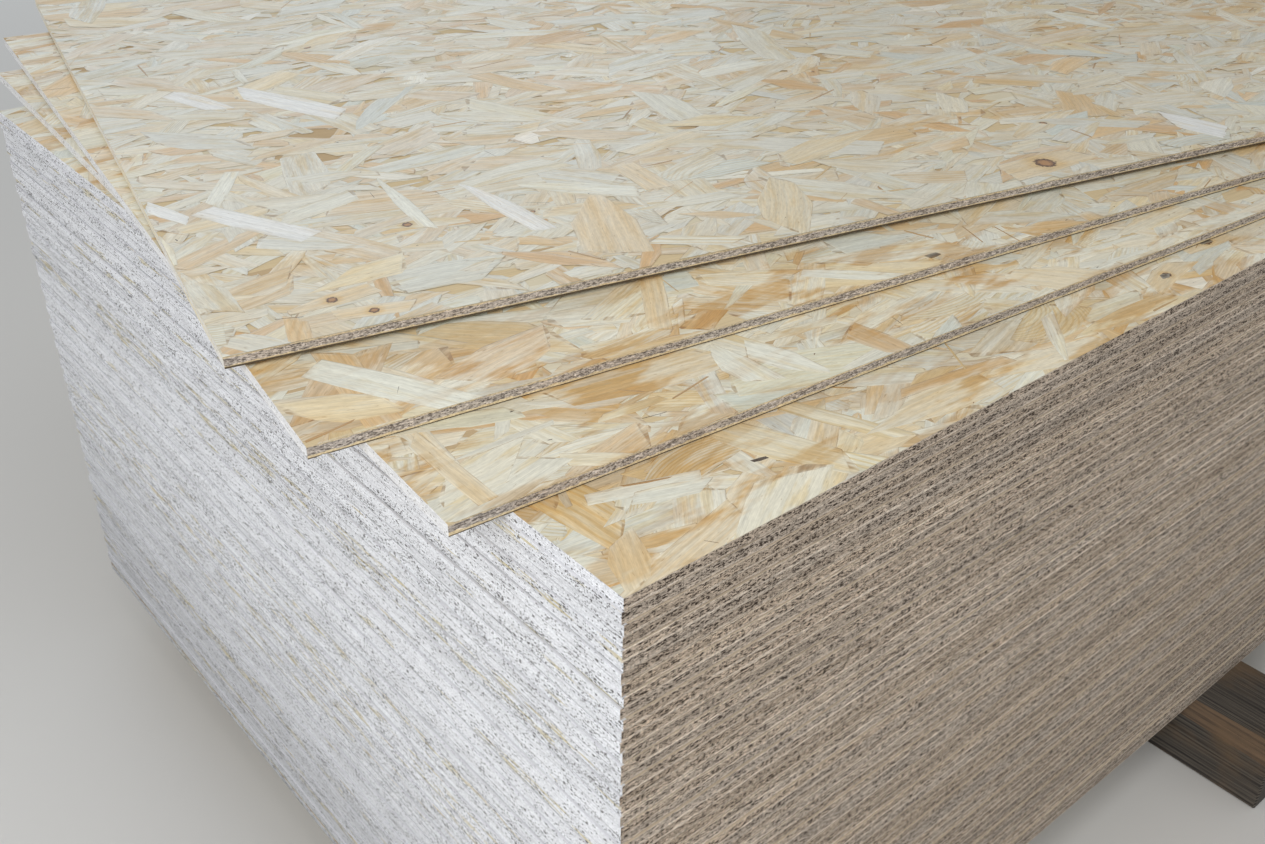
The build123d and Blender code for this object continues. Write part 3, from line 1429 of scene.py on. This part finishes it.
    def to_object(self, rows: np.ndarray, owner: np.ndarray, faces: list[list[int]],
                  strands: Strands, material: bpy.types.Material) -> bpy.types.Object:
        """Turn corners and faces into an object with its maps and values.

        Args:
            rows: Per corner: x, y, s, t, along, across, level and 1 above or 0 below.
            owner: Per corner, its strand.
            faces: Corners of each face.
            strands: All strands.
            material: What the strands wear.

        Returns:
            The finished piece.
        """
        squeezed = self.relief * (1 - np.exp(-rows[:, 6] / self.layers)) + self.step * rows[:, 6]
        height = self.place.thickness + self.skin + squeezed - (1 - rows[:, 7]) * self.sheet
        world = self.place.to_world(np.column_stack((rows[:, 0], rows[:, 1], height)))
        mesh = bpy.data.meshes.new(self.name)
        mesh.from_pydata(world, [], faces)
        loops = np.empty(len(mesh.loops), int)
        mesh.loops.foreach_get("vertex_index", loops)
        baked = rows[:, :2] / (self.place.length, self.place.width) + 0.5
        maps = {"grain": rows[:, 4:6], "span": rows[:, 2:4], BAKE_MAP: baked}
        for name, values in maps.items():
            layer = mesh.uv_layers.new(name=name, do_init=False)
            layer.uv.foreach_set("vector", values[loops].astype(np.float32).ravel())
        tint = mesh.color_attributes.new("tint", "FLOAT_COLOR", "POINT")
        tint.data.foreach_set("color", strands["tint"][owner].astype(np.float32).ravel())
        for name in ("growth", "flake", "knot"):
            values = mesh.attributes.new(name, "FLOAT_VECTOR", "POINT")
            values.data.foreach_set("vector", strands[name][owner].astype(np.float32).ravel())
        mesh.materials.append(material)
        mesh.validate()
        piece = bpy.data.objects.new(self.name, mesh)
        bpy.context.scene.collection.objects.link(piece)
        return piece


@dataclass
class PanelBody:
    """One panel's body, modelled from its outline up, with a rough sawn edge all round."""

    name: str
    length: float
    width: float
    thickness: float
    rows: tuple[float, ...]
    corner_step: float
    step: float
    corner_zone: float = 45 * MM
    coat_swell: float = 0.12 * MM
    edge_reach: float = 0.5 * MM

    def side(self, half: float) -> np.ndarray:
        """Places along one side, closer together near its corners.

        Args:
            half: Half the side's length.

        Returns:
            The places, from the first corner up to the last one, which is left out.
        """
        near = np.arange(0, self.corner_zone, self.corner_step)
        between = round(2 * (half - self.corner_zone) / self.step)
        start = half - self.corner_zone
        middle = np.linspace(-start, start, between, endpoint=False)
        return np.concatenate((near - half, middle, near + start))

    def outline(self) -> np.ndarray:
        """Points round the panel.

        Returns:
            Their x and y, anticlockwise from the near left corner.
        """
        half_length, half_width = self.length / 2, self.width / 2
        x, y = self.side(half_length), self.side(half_width)
        return np.concatenate((
            np.column_stack((x, np.full(len(x), -half_width))),
            np.column_stack((np.full(len(y), half_length), y)),
            np.column_stack((-x, np.full(len(x), half_width))),
            np.column_stack((np.full(len(y), -half_length), -y)),
        ))

    def mould(self, rim: float) -> bpy.types.Object:
        """Model the flat panel, its middle at the origin.

        Args:
            rim: How far in from the edge each face gets a ring of its own, or 0 for none.

        Returns:
            The panel, with its edge in rows.
        """
        bpy.ops.object.select_all(action="DESELECT")
        outline = self.outline()
        bpy.ops.mesh.primitive_circle_add(vertices=len(outline), fill_type="NOTHING")
        panel = bpy.context.object
        panel.name = panel.data.name = self.name
        shrink = 1 - 2 * rim / np.array((self.length, self.width))
        start = np.column_stack((outline * shrink, np.zeros(len(outline))))
        panel.data.vertices.foreach_set("co", start.ravel())
        bpy.ops.object.mode_set(mode="EDIT")
        bpy.ops.mesh.select_all(action="SELECT")
        bpy.ops.mesh.edge_face_add()
        bpy.ops.mesh.select_all(action="SELECT")
        grown = [(1 / shrink, 0.0)] if rim else []
        raised = [(np.ones(2), (b - a) * self.thickness) for a, b in zip(self.rows, self.rows[1:])]
        for scale, lift in grown + raised + ([(shrink, 0.0)] if rim else []):
            bpy.ops.mesh.extrude_region_move(TRANSFORM_OT_translate={"value": (0, 0, lift)})
            bpy.ops.transform.resize(value=(scale[0], scale[1], 1.0),
                                     center_override=(0.0, 0.0, 0.0))
        bpy.ops.mesh.select_all(action="SELECT")
        bpy.ops.mesh.normals_make_consistent(inside=False)
        bpy.ops.object.mode_set(mode="OBJECT")
        return panel

    def sides_of(self, mesh: bpy.types.Mesh) -> np.ndarray:
        """Say on which side each polygon lies.

        Args:
            mesh: The moulded panel.

        Returns:
            The numbers of Side, one for each polygon.
        """
        normals = np.empty(len(mesh.polygons) * 3)
        mesh.polygons.foreach_get("normal", normals)
        normals = np.abs(normals.reshape(-1, 3))
        upright = np.where(normals[:, 0] > normals[:, 1], Side.SHORT.value, Side.LONG.value)
        return np.where(normals[:, 2] > 0.7, Side.FACE.value, upright)

    def torn(self, points: np.ndarray, seed: int, depth: float, pitch: float) -> np.ndarray:
        """Tear the sawn edge: strand ends stand out, voids lie back and arrises are chipped.

        Args:
            points: The moulded panel's points.
            seed: Which tear.
            depth: How much deeper or shallower than usual it is torn.
            pitch: Length of the finest tears along the edge.

        Returns:
            The points, torn.
        """
        points = points.copy()
        inward = np.array((self.length, self.width)) / 2 - np.abs(points[:, :2])
        on_edge = inward.min(axis=1) < self.edge_reach
        on_long = inward[:, 1] < inward[:, 0]
        # Each of the four edges has its own stretch of the waves
        around = np.where(on_long, points[:, 0] + 10 * np.sign(points[:, 1]),
                          points[:, 1] + 20 * np.sign(points[:, 0]))
        share = points[:, 2] / self.thickness
        back = np.zeros(len(points))
        for number, row in enumerate(self.rows):
            here = on_edge & (np.abs(share - row) < 0.01)
            line = around[here]
            core = 1.0 if 0.2 < row < 0.8 else 0.35
            waves = 0.16 * ripple(line, 3 * pitch, seed + number)
            waves += 0.12 * ripple(line, pitch, seed + 20 + number)
            pits = np.clip(ripple(line, 1.4 * pitch, seed + 40 + number) - 0.45, 0, 1)
            back[here] = (0.22 + waves + 1.3 * pits) * core
            if row in (0.0, 1.0):
                chips = np.clip(ripple(line, 4.3 * pitch, seed + 60 + number) - 0.5, 0, 1)
                chips = np.where(on_long[here], chips, 0.2 * chips)
                back[here] = 0.15 + 1.6 * chips
                drop = np.where(on_long[here], 0.06 + 0.7 * chips, -self.coat_swell / MM)
                points[here, 2] += (-1 if row else 1) * drop * depth * MM
        for axis in (0, 1):
            near = on_edge & (inward[:, axis] < self.edge_reach)
            points[near, axis] -= np.sign(points[near, axis]) * back[near] * depth * MM
        return points

    def bake_places(self, at: np.ndarray, side: np.ndarray, above: np.ndarray, share: np.ndarray,
                    strips: float) -> np.ndarray:
        """Places on the bake's square picture: four edge strips below, two faces above.

        Args:
            at: Each corner's point.
            side: Each corner's side.
            above: Whether its polygon is in the upper face.
            share: Its height within its strip, 0 to 1.
            strips: How much of the picture the strips take up.

        Returns:
            One place for each corner.
        """
        margin = 0.02
        u = at[:, 0] / self.length + 0.5
        across = at[:, 1] / self.width + 0.5
        strip = strips / 3
        front = at[:, 1] < 0
        within = share * (1 - 4 * margin) + 2 * margin
        long_v = (within + np.where(front, 0, 1)) * strip
        short_u = across * (0.5 - margin) + margin / 2 + np.where(at[:, 0] < 0, 0, 0.5)
        short_v = (within + 2) * strip
        face = (1 - strips) / 2
        face_v = strips + (across * (1 - 2 * margin) + margin + above) * face
        u = np.where(side == Side.SHORT.value, short_u, u)
        v = np.where(side == Side.SHORT.value, short_v, long_v)
        return np.column_stack((u, np.where(side == Side.FACE.value, face_v, v)))


def polygon_data(mesh: bpy.types.Mesh) -> tuple[np.ndarray, np.ndarray, np.ndarray]:
    """Read a mesh's numbers.

    Args:
        mesh: The mesh.

    Returns:
        Its points, each corner's point and each polygon's number of corners.
    """
    points = np.empty(len(mesh.vertices) * 3)
    mesh.vertices.foreach_get("co", points)
    corner = np.empty(len(mesh.loops), int)
    mesh.loops.foreach_get("vertex_index", corner)
    sizes = np.empty(len(mesh.polygons), int)
    mesh.polygons.foreach_get("loop_total", sizes)
    return points.reshape(-1, 3), corner, sizes


def write_maps(mesh: bpy.types.Mesh, panel: np.ndarray, baked: np.ndarray,
               sides: np.ndarray) -> None:
    """Store what PanelFinish and the bake read from a panel's mesh.

    Args:
        mesh: The panel's mesh.
        panel: The panel's own map, one row for each corner.
        baked: Places on the bake's picture, one row for each corner.
        sides: For each polygon: 1 on a short end, its FaceKind and its board's number.
    """
    for name, values in (("panel", panel), (BAKE_MAP, baked)):
        layer = mesh.uv_layers.new(name=name, do_init=False)
        layer.uv.foreach_set("vector", values.astype(np.float32).ravel())
    stored = mesh.attributes.new("side", "FLOAT_VECTOR", "FACE")
    stored.data.foreach_set("vector", sides.astype(np.float32).ravel())


def edge_map(body: PanelBody, at: np.ndarray, side: np.ndarray) -> np.ndarray:
    """Make the panel's own map, in which each edge has a stretch to itself.

    Args:
        body: The panel.
        at: Each corner's point.
        side: Each corner's side.

    Returns:
        Metres along an edge and share of the thickness, or metres both ways on a face.
    """
    along = np.where(side == Side.SHORT.value, at[:, 1] + 11.0 * np.sign(at[:, 0]), at[:, 0])
    along = np.where(side == Side.LONG.value, along + 5.0 * np.sign(at[:, 1]), along)
    height = np.where(side == Side.FACE.value, at[:, 1], at[:, 2] / body.thickness)
    return np.column_stack((along, height))


@dataclass
class LoosePanel:
    """A loose panel with sawn edges that have torn fibres and small voids."""

    node: str
    place: PanelPlace
    board: float
    seed: int
    rows: tuple[float, ...] = (0.0, 0.09, 0.25, 0.42, 0.58, 0.75, 0.91, 1.0)
    step: float = 3 * MM
    rim: float = 5 * MM
    cup_cuts: int = 12
    strips: float = 0.12

    def build(self, material: bpy.types.Material) -> bpy.types.Object:
        """Model the panel, tear its edges and lay it in its place.

        Args:
            material: What the panel wears.

        Returns:
            The finished piece.
        """
        place = self.place
        body = PanelBody(self.node.replace("loose_panel", "panel"), place.length, place.width,
                         place.thickness, self.rows, self.step, self.step)
        panel = body.mould(self.rim)
        self.cut_for_cup(panel, body)
        mesh = panel.data
        points, corner, sizes = polygon_data(mesh)
        side = body.sides_of(mesh)
        of_corner = np.repeat(side, sizes)
        at = points[corner]
        above = at[:, 2] > place.thickness / 2
        baked = body.bake_places(at, of_corner, above, at[:, 2] / place.thickness, self.strips)
        face = np.where(side == Side.FACE.value, FaceKind.OPEN.value, FaceKind.EDGE.value)
        values = np.column_stack((side == Side.SHORT.value, face, np.full(len(side), self.board)))
        write_maps(mesh, edge_map(body, at, of_corner), baked, values)
        points = body.torn(points, self.seed, 1.0, 3.1 * MM)
        mesh.vertices.foreach_set("co", place.to_world(points).ravel())
        mesh.update()
        mesh.materials.append(material)
        return panel

    def cut_for_cup(self, panel: bpy.types.Object, body: PanelBody) -> None:
        """Cut the faces into strips along the panel, so that they can follow its cup.

        Args:
            panel: The moulded panel.
            body: Its sizes.
        """
        bpy.context.view_layer.objects.active = panel
        bpy.ops.object.mode_set(mode="EDIT")
        inner = body.width - 2 * self.rim
        for cut in range(1, self.cup_cuts):
            across = (cut / self.cup_cuts - 0.5) * inner + 0.1 * MM
            bpy.ops.mesh.select_all(action="SELECT")
            bpy.ops.mesh.bisect(plane_co=(0.0, across, 0.0), plane_no=(0.0, 1.0, 0.0))
        bpy.ops.object.mode_set(mode="OBJECT")


@dataclass
class SquaredPanels:
    """The squared-up panels, in three lots from the floor up, all cut from one mould."""

    node: str
    thickness: float
    seed: int = 900
    lots: tuple[str, ...] = ("squared_panels_low", "squared_panels_middle", "squared_panels_top")
    rows: tuple[float, ...] = (0.0, 0.1, 0.9, 1.0)
    corner_step: float = 3 * MM
    step: float = 17 * MM
    strips: float = 0.94
    hair: float = 0.1 * MM

    def places(self) -> list[PanelPlace]:
        """Read each panel's rectangle from the node.

        Returns:
            The panels' places, lowest first.
        """
        points = node_points(self.node)
        heights = np.unique(np.round(points[:, 2], 5))
        found = []
        while len(heights):
            low = heights[0]
            high = low + self.thickness + self.hair
            inside = points[(points[:, 2] > low - self.hair) & (points[:, 2] < high), :2]
            first, last = inside.min(axis=0), inside.max(axis=0)
            centre = Vector((*((first + last) / 2), low))
            found.append(PanelPlace(centre, 0.0, *(last - first), self.thickness))
            heights = heights[heights > high]
        return found

    def build(self, material: bpy.types.Material) -> list[bpy.types.Object]:
        """Cut every panel from the mould, tear its edges and join each lot in one piece.

        Args:
            material: What the panels wear.

        Returns:
            The finished pieces, lowest first.
        """
        places = self.places()
        first = places[0]
        body = PanelBody("panel_mould", first.length, first.width, self.thickness, self.rows,
                         self.corner_step, self.step)
        mould = body.mould(0.0)
        shape = polygon_data(mould.data)
        side = body.sides_of(mould.data)
        bpy.data.objects.remove(mould)
        lot_size = math.ceil(len(places) / len(self.lots))
        shown = (0, len(places) - 1)
        pieces = []
        for number, name in enumerate(self.lots):
            start = number * lot_size
            lot = places[start:start + lot_size]
            pieces.append(self.join(name, lot, start, body, shape, side, shown, material))
        return pieces

    def join(self, name: str, lot: list[PanelPlace], first: int, body: PanelBody,
             shape: tuple[np.ndarray, np.ndarray, np.ndarray], side: np.ndarray,
             shown: tuple[int, int], material: bpy.types.Material) -> bpy.types.Object:
        """Join one lot of panels.

        Args:
            name: The lot's name.
            lot: Where its panels lie.
            first: Number of its lowest panel in the stack.
            body: What each panel is cut from.
            shape: The mould's points, corners and polygon sizes.
            side: The mould's side for each polygon.
            shown: Numbers of the panels whose faces can be seen.
            material: What the panels wear.

        Returns:
            The finished piece.
        """
        points, corner, sizes = shape
        of_corner = np.repeat(side, sizes)
        at = points[corner]
        above = at[:, 2] > self.thickness / 2
        panel_map = edge_map(body, at, of_corner)
        placed, maps, baked, values = [], [], [], []
        for level, place in enumerate(lot):
            board = first + level
            placed.append(place.to_world(body.torn(points, self.seed + 100 * board, 0.8, 9 * MM)))
            share = (level + at[:, 2] / self.thickness) / len(lot)
            baked.append(body.bake_places(at, of_corner, above, share, self.strips))
            maps.append(panel_map)
            kind = FaceKind.OPEN if board in shown else FaceKind.PRESSED
            face = np.where(side == Side.FACE.value, kind.value, FaceKind.EDGE.value)
            values.append(np.column_stack((side == Side.SHORT.value, face, 0 * face + board)))
        offsets = np.arange(len(lot)) * len(points)
        corners = (corner[None, :] + offsets[:, None]).ravel()
        ends = np.cumsum(np.tile(sizes, len(lot)))
        faces = [part.tolist() for part in np.split(corners, ends[:-1])]
        mesh = bpy.data.meshes.new(name)
        mesh.from_pydata(np.concatenate(placed), [], faces)
        write_maps(mesh, np.concatenate(maps), np.concatenate(baked), np.concatenate(values))
        mesh.materials.append(material)
        piece = bpy.data.objects.new(name, mesh)
        bpy.context.scene.collection.objects.link(piece)
        return piece


@dataclass(frozen=True)
class Lamp:
    """One soft rectangular lamp."""

    name: str
    at: Vector
    aim: Vector
    size: tuple[float, float]
    power: float
    colour: Colour

    def hang(self) -> None:
        """Add the lamp to the scene, turned to its aim."""
        data = bpy.data.lights.new(self.name, "AREA")
        data.shape = "RECTANGLE"
        data.size, data.size_y = self.size
        data.energy = self.power
        data.color = self.colour
        lamp = bpy.data.objects.new(self.name, data)
        lamp.location = self.at
        lamp.rotation_euler = (self.aim - self.at).to_track_quat("-Z", "Y").to_euler()
        bpy.context.scene.collection.objects.link(lamp)


STACK_MIDDLE = Vector((-0.3, -0.2, 0.6))
LAMPS = (
    Lamp("window_left", Vector((-3.0, -1.6, 2.1)), STACK_MIDDLE, (2.0, 1.6), 49.0, (0.98, 0.985, 1.0)),
    Lamp("window_far", Vector((1.4, 7.0, 3.0)), STACK_MIDDLE, (8.4, 4.2), 100.0, (0.80, 0.90, 1.0)),
    Lamp("ceiling", Vector((-0.8, -0.6, 3.1)), Vector((-0.8, -0.5, 0.8)), (1.6, 1.6), 12.0,
         (1.0, 0.97, 0.92)),
)


@dataclass
class Studio:
    """Plain pale floor, soft light and the camera."""

    eye: Vector
    heading: float = 40.62
    tilt: float = 31.99
    roll: float = -0.89
    lens: float = 37.2
    sensor: float = 36.0
    floor_size: float = 60.0
    floor_colour: Colour = linear(214, 212, 208)
    sky_colour: Colour = (0.96, 0.98, 1.0)
    sky_strength: float = 0.5

    def build(self) -> None:
        """Lay the floor, light it and stand the camera."""
        self.floor()
        self.light()
        self.camera()

    def floor(self) -> None:
        """Lay the floor that the bearers rest on."""
        bpy.ops.object.select_all(action="DESELECT")
        bpy.ops.mesh.primitive_plane_add(size=self.floor_size)
        floor = bpy.context.object
        floor.name = "studio_floor"
        w = Wires("studio_floor")
        floor.data.materials.append(w.finish(Base_Color=(*self.floor_colour, 1.0), Roughness=0.9))

    def light(self) -> None:
        """Set the sky and hang the lamps."""
        world = bpy.data.worlds.new("studio_sky")
        world.use_nodes = True
        sky = world.node_tree.nodes["Background"]
        sky.inputs[0].default_value = (*self.sky_colour, 1.0)
        sky.inputs[1].default_value = self.sky_strength
        bpy.context.scene.world = world
        for lamp in LAMPS:
            lamp.hang()

    def camera(self) -> None:
        """Stand the camera at the photograph's place."""
        yaw, pitch, roll = (math.radians(a) for a in (self.heading, self.tilt, self.roll))
        ahead = Vector((math.sin(yaw), math.cos(yaw), 0.0))
        right = Vector((math.cos(yaw), -math.sin(yaw), 0.0))
        up = Vector((0.0, 0.0, 1.0))
        forward = math.cos(pitch) * ahead - math.sin(pitch) * up
        down = -math.sin(pitch) * ahead - math.cos(pitch) * up
        side = math.cos(roll) * right + math.sin(roll) * down
        below = -math.sin(roll) * right + math.cos(roll) * down
        turn = Matrix((side, -below, -forward)).transposed()
        data = bpy.data.cameras.new("camera")
        data.lens = self.lens
        data.sensor_fit = "HORIZONTAL"
        data.sensor_width = self.sensor
        camera = bpy.data.objects.new("camera", data)
        camera.matrix_world = Matrix.Translation(self.eye) @ turn.to_4x4()
        bpy.context.scene.collection.objects.link(camera)
        bpy.context.scene.camera = camera


# Painted glints: white strands where the glossy top face would reflect the window; the other tones are
# the strands' own
PAINTED_GLINT = linear(228, 229, 228)
PALE = linear(224, 224, 210)
TAN = linear(216, 194, 154)
RESIN = linear(198, 160, 104)
BARK = linear(58, 40, 26)

# Listed strands, by the node that they lie on
MARKS = {
    "loose_panel_upper": (
        MarkedStrand(-0.845, -0.512, 0.152, 0.068, 73.0, TAN),
        MarkedStrand(-0.328, -0.582, 0.125, 0.050, 6.0, TAN, 13 * MM),
        MarkedStrand(-1.009, -0.408, 0.017, 0.008, -9.0, RESIN),
        MarkedStrand(-1.154, -0.206, 0.040, 0.009, -12.0, RESIN),
        MarkedStrand(-1.127, -0.240, 0.022, 0.012, -63.0, RESIN),
        MarkedStrand(-1.140, -0.562, 0.085, 0.026, 12.0, TAN, 5.5 * MM),
        MarkedStrand(-1.113, -0.598, 0.070, 0.022, -8.0, TAN, 5.0 * MM),
        MarkedStrand(-1.183, -0.580, 0.024, 0.0008, -14.0, BARK),
        MarkedStrand(-0.754, -0.417, 0.085, 0.033, -85.0, TAN),
        MarkedStrand(-0.920, -0.431, 0.148, 0.027, -79.0, PAINTED_GLINT),
        MarkedStrand(-1.158, -0.363, 0.139, 0.032, -53.0, PAINTED_GLINT),
        MarkedStrand(-1.232, -0.299, 0.065, 0.021, -62.0, PAINTED_GLINT),
        MarkedStrand(-1.010, -0.374, 0.150, 0.017, -88.0, PALE),
        MarkedStrand(-0.831, -0.419, 0.131, 0.036, -34.0, PALE),
        MarkedStrand(-1.029, -0.012, 0.165, 0.045, -56.0, PAINTED_GLINT),
        MarkedStrand(-1.132, 0.045, 0.100, 0.034, -62.0, PAINTED_GLINT),
        MarkedStrand(-0.072, -0.565, 0.074, 0.045, -71.0, PAINTED_GLINT),
        MarkedStrand(-1.166, -0.254, 0.094, 0.019, 65.0, PALE),
        MarkedStrand(-0.460, -0.122, 0.105, 0.035, 8.0, PALE),
        MarkedStrand(0.148, -0.136, 0.114, 0.041, -77.0, PALE),
    ),
    "loose_panel_middle": (
        MarkedStrand(-1.159, -0.573, 0.155, 0.037, -54.0, PALE),
        MarkedStrand(-0.888, -0.543, 0.131, 0.024, 62.0, TAN),
        MarkedStrand(-0.702, -0.600, 0.095, 0.021, -36.0, PALE),
        MarkedStrand(-0.603, -0.606, 0.016, 0.008, 3.0, BARK),
        MarkedStrand(-0.722, -0.544, 0.031, 0.008, 43.0, RESIN),
    ),
    "loose_panel_lower": (
        MarkedStrand(-1.215, -0.564, 0.106, 0.018, -87.0, TAN),
        MarkedStrand(-0.895, -0.582, 0.079, 0.030, -64.0, PALE),
        MarkedStrand(-0.935, -0.563, 0.070, 0.035, -87.0, PALE),
        MarkedStrand(-0.805, -0.600, 0.060, 0.034, -79.0, RESIN),
        MarkedStrand(-0.518, -0.529, 0.015, 0.007, -14.0, BARK),
    ),
    "squared_panels": (
        MarkedStrand(-1.221, -0.596, 0.057, 0.030, 64.0, TAN),
        MarkedStrand(-1.156, -0.536, 0.093, 0.017, -19.0, PALE),
        MarkedStrand(-0.708, -0.590, 0.088, 0.016, 46.0, PALE),
        MarkedStrand(-0.508, -0.583, 0.080, 0.028, 12.0, TAN, 4.5 * MM),
        MarkedStrand(-0.403, -0.563, 0.080, 0.028, -6.0, TAN, 8.0 * MM),
        MarkedStrand(-0.403, -0.563, 0.018, 0.011, -9.0, BARK),
        MarkedStrand(-0.511, -0.583, 0.014, 0.009, -7.0, BARK),
        MarkedStrand(-1.061, -0.563, 0.014, 0.004, -13.0, BARK),
        MarkedStrand(-1.144, -0.552, 0.060, 0.020, -20.0, PALE),
        MarkedStrand(-0.836, -0.577, 0.125, 0.014, -10.0, RESIN),
    ),
}


LOOSE_NODES = ("loose_panel_lower", "loose_panel_middle", "loose_panel_upper")
WANE_SIDES = {"bearer_left": 1, "bearer_middle": -1, "bearer_right": 1}
EYE_FROM_CORNER = Vector((-0.434, -0.513, 0.560))
STRAND_SEED = 100
EDGE_SEED = 500
OPEN_RELIEF = 0.5 * MM
COVERED_RELIEF = 0.12 * MM


def keep(piece: bpy.types.Object) -> None:
    """Make a piece ride with the stack and report it.

    Args:
        piece: The finished piece.
    """
    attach(piece, BODY)
    log.info("%s: %d polygons", piece.name, len(piece.data.polygons))


def read_places(thickness: float) -> dict[str, PanelPlace]:
    """Read where the panels with an open face lie.

    Args:
        thickness: Thickness of every panel.

    Returns:
        Each panel's place by its node, lowest first.
    """
    places = {"squared_panels": top_place("squared_panels", thickness)}
    for node in LOOSE_NODES:
        places[node] = loose_place(node, thickness)
    for node, place in places.items():
        log.info("%s turn %.2f length %.4f width %.4f cup %.4f", node,
                 math.degrees(place.turn), place.length, place.width, place.cup)
    return places


def lay_strands(places: dict[str, PanelPlace]) -> None:
    """Lay strands on every face that lies open, wholly or along its rim.

    Args:
        places: Each panel's place, lowest first.
    """
    # The open top face wears a greyer, paler copy of the strands' palette: partly its own tone, partly
    # painted sheen
    upper_finish = StrandFinish(
        "strand_face_grey_sheen",
        shared_pale=linear(220, 215, 198),
        shared_warm=linear(204, 178, 132),
        shared_grey=linear(208, 207, 195),
        cloud_low=0.36,
        painted_sheen_left=0.12,
    ).build()
    lower_finish = StrandFinish(
        "strand_face_warm",
        shared_pale=linear(226, 221, 202),
        shared_warm=linear(193, 156, 99),
        late_wood=(0.86, 0.73, 0.50),
        cloud_low=0.46,
        specular=0.4,
    ).build()
    covers = [*list(places.values())[1:], None]
    for number, ((node, place), cover) in enumerate(zip(places.items(), covers)):
        relief = OPEN_RELIEF if cover is None else COVERED_RELIEF
        name = node.replace("loose_panel", "strands").replace("squared_panels", "strands_squared")
        lay = StrandLay(name, place, cover, STRAND_SEED + number, relief, MARKS[node])
        keep(lay.build(upper_finish if cover is None else lower_finish))


def build_panels(places: dict[str, PanelPlace], thickness: float) -> None:
    """Model the squared-up panels and the loose ones.

    Args:
        places: Each panel's place, lowest first.
        thickness: Thickness of every panel.
    """
    finish = PanelFinish(places["loose_panel_lower"].length / 2).build()
    for piece in SquaredPanels("squared_panels", thickness).build(finish):
        keep(piece)
        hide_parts("squared_panels")
    for number, node in enumerate(LOOSE_NODES):
        board = FIRST_LOOSE_BOARD + number
        panel = LoosePanel(node, places[node], board, EDGE_SEED + 100 * number).build(finish)
        keep(panel)
        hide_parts(node)


def dress_bearers() -> None:
    """Give each of the frame's bearers its own weathered finish."""
    timber = TimberFinish()
    for node, wane_side in WANE_SIDES.items():
        low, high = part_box(node)
        material = timber.build((low.x + high.x) / 2, high.z - low.z, wane_side)
        for slot in bpy.data.objects[node].material_slots:
            slot.material = material
        log.info("%s dressed in %s", node, material.name)


def main() -> None:
    """Build the pieces in order."""
    logging.basicConfig(level=logging.INFO, format="%(message)s")
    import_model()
    bpy.context.scene.view_settings.view_transform = "Standard"

    low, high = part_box("loose_panel_lower")
    thickness = high.z - low.z
    places = read_places(thickness)
    low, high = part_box("squared_panels")
    Studio(Vector((low.x, low.y, high.z)) + EYE_FROM_CORNER).build()
    lay_strands(places)
    build_panels(places, thickness)
    dress_bearers()


if __name__ == "__main__":
    main()
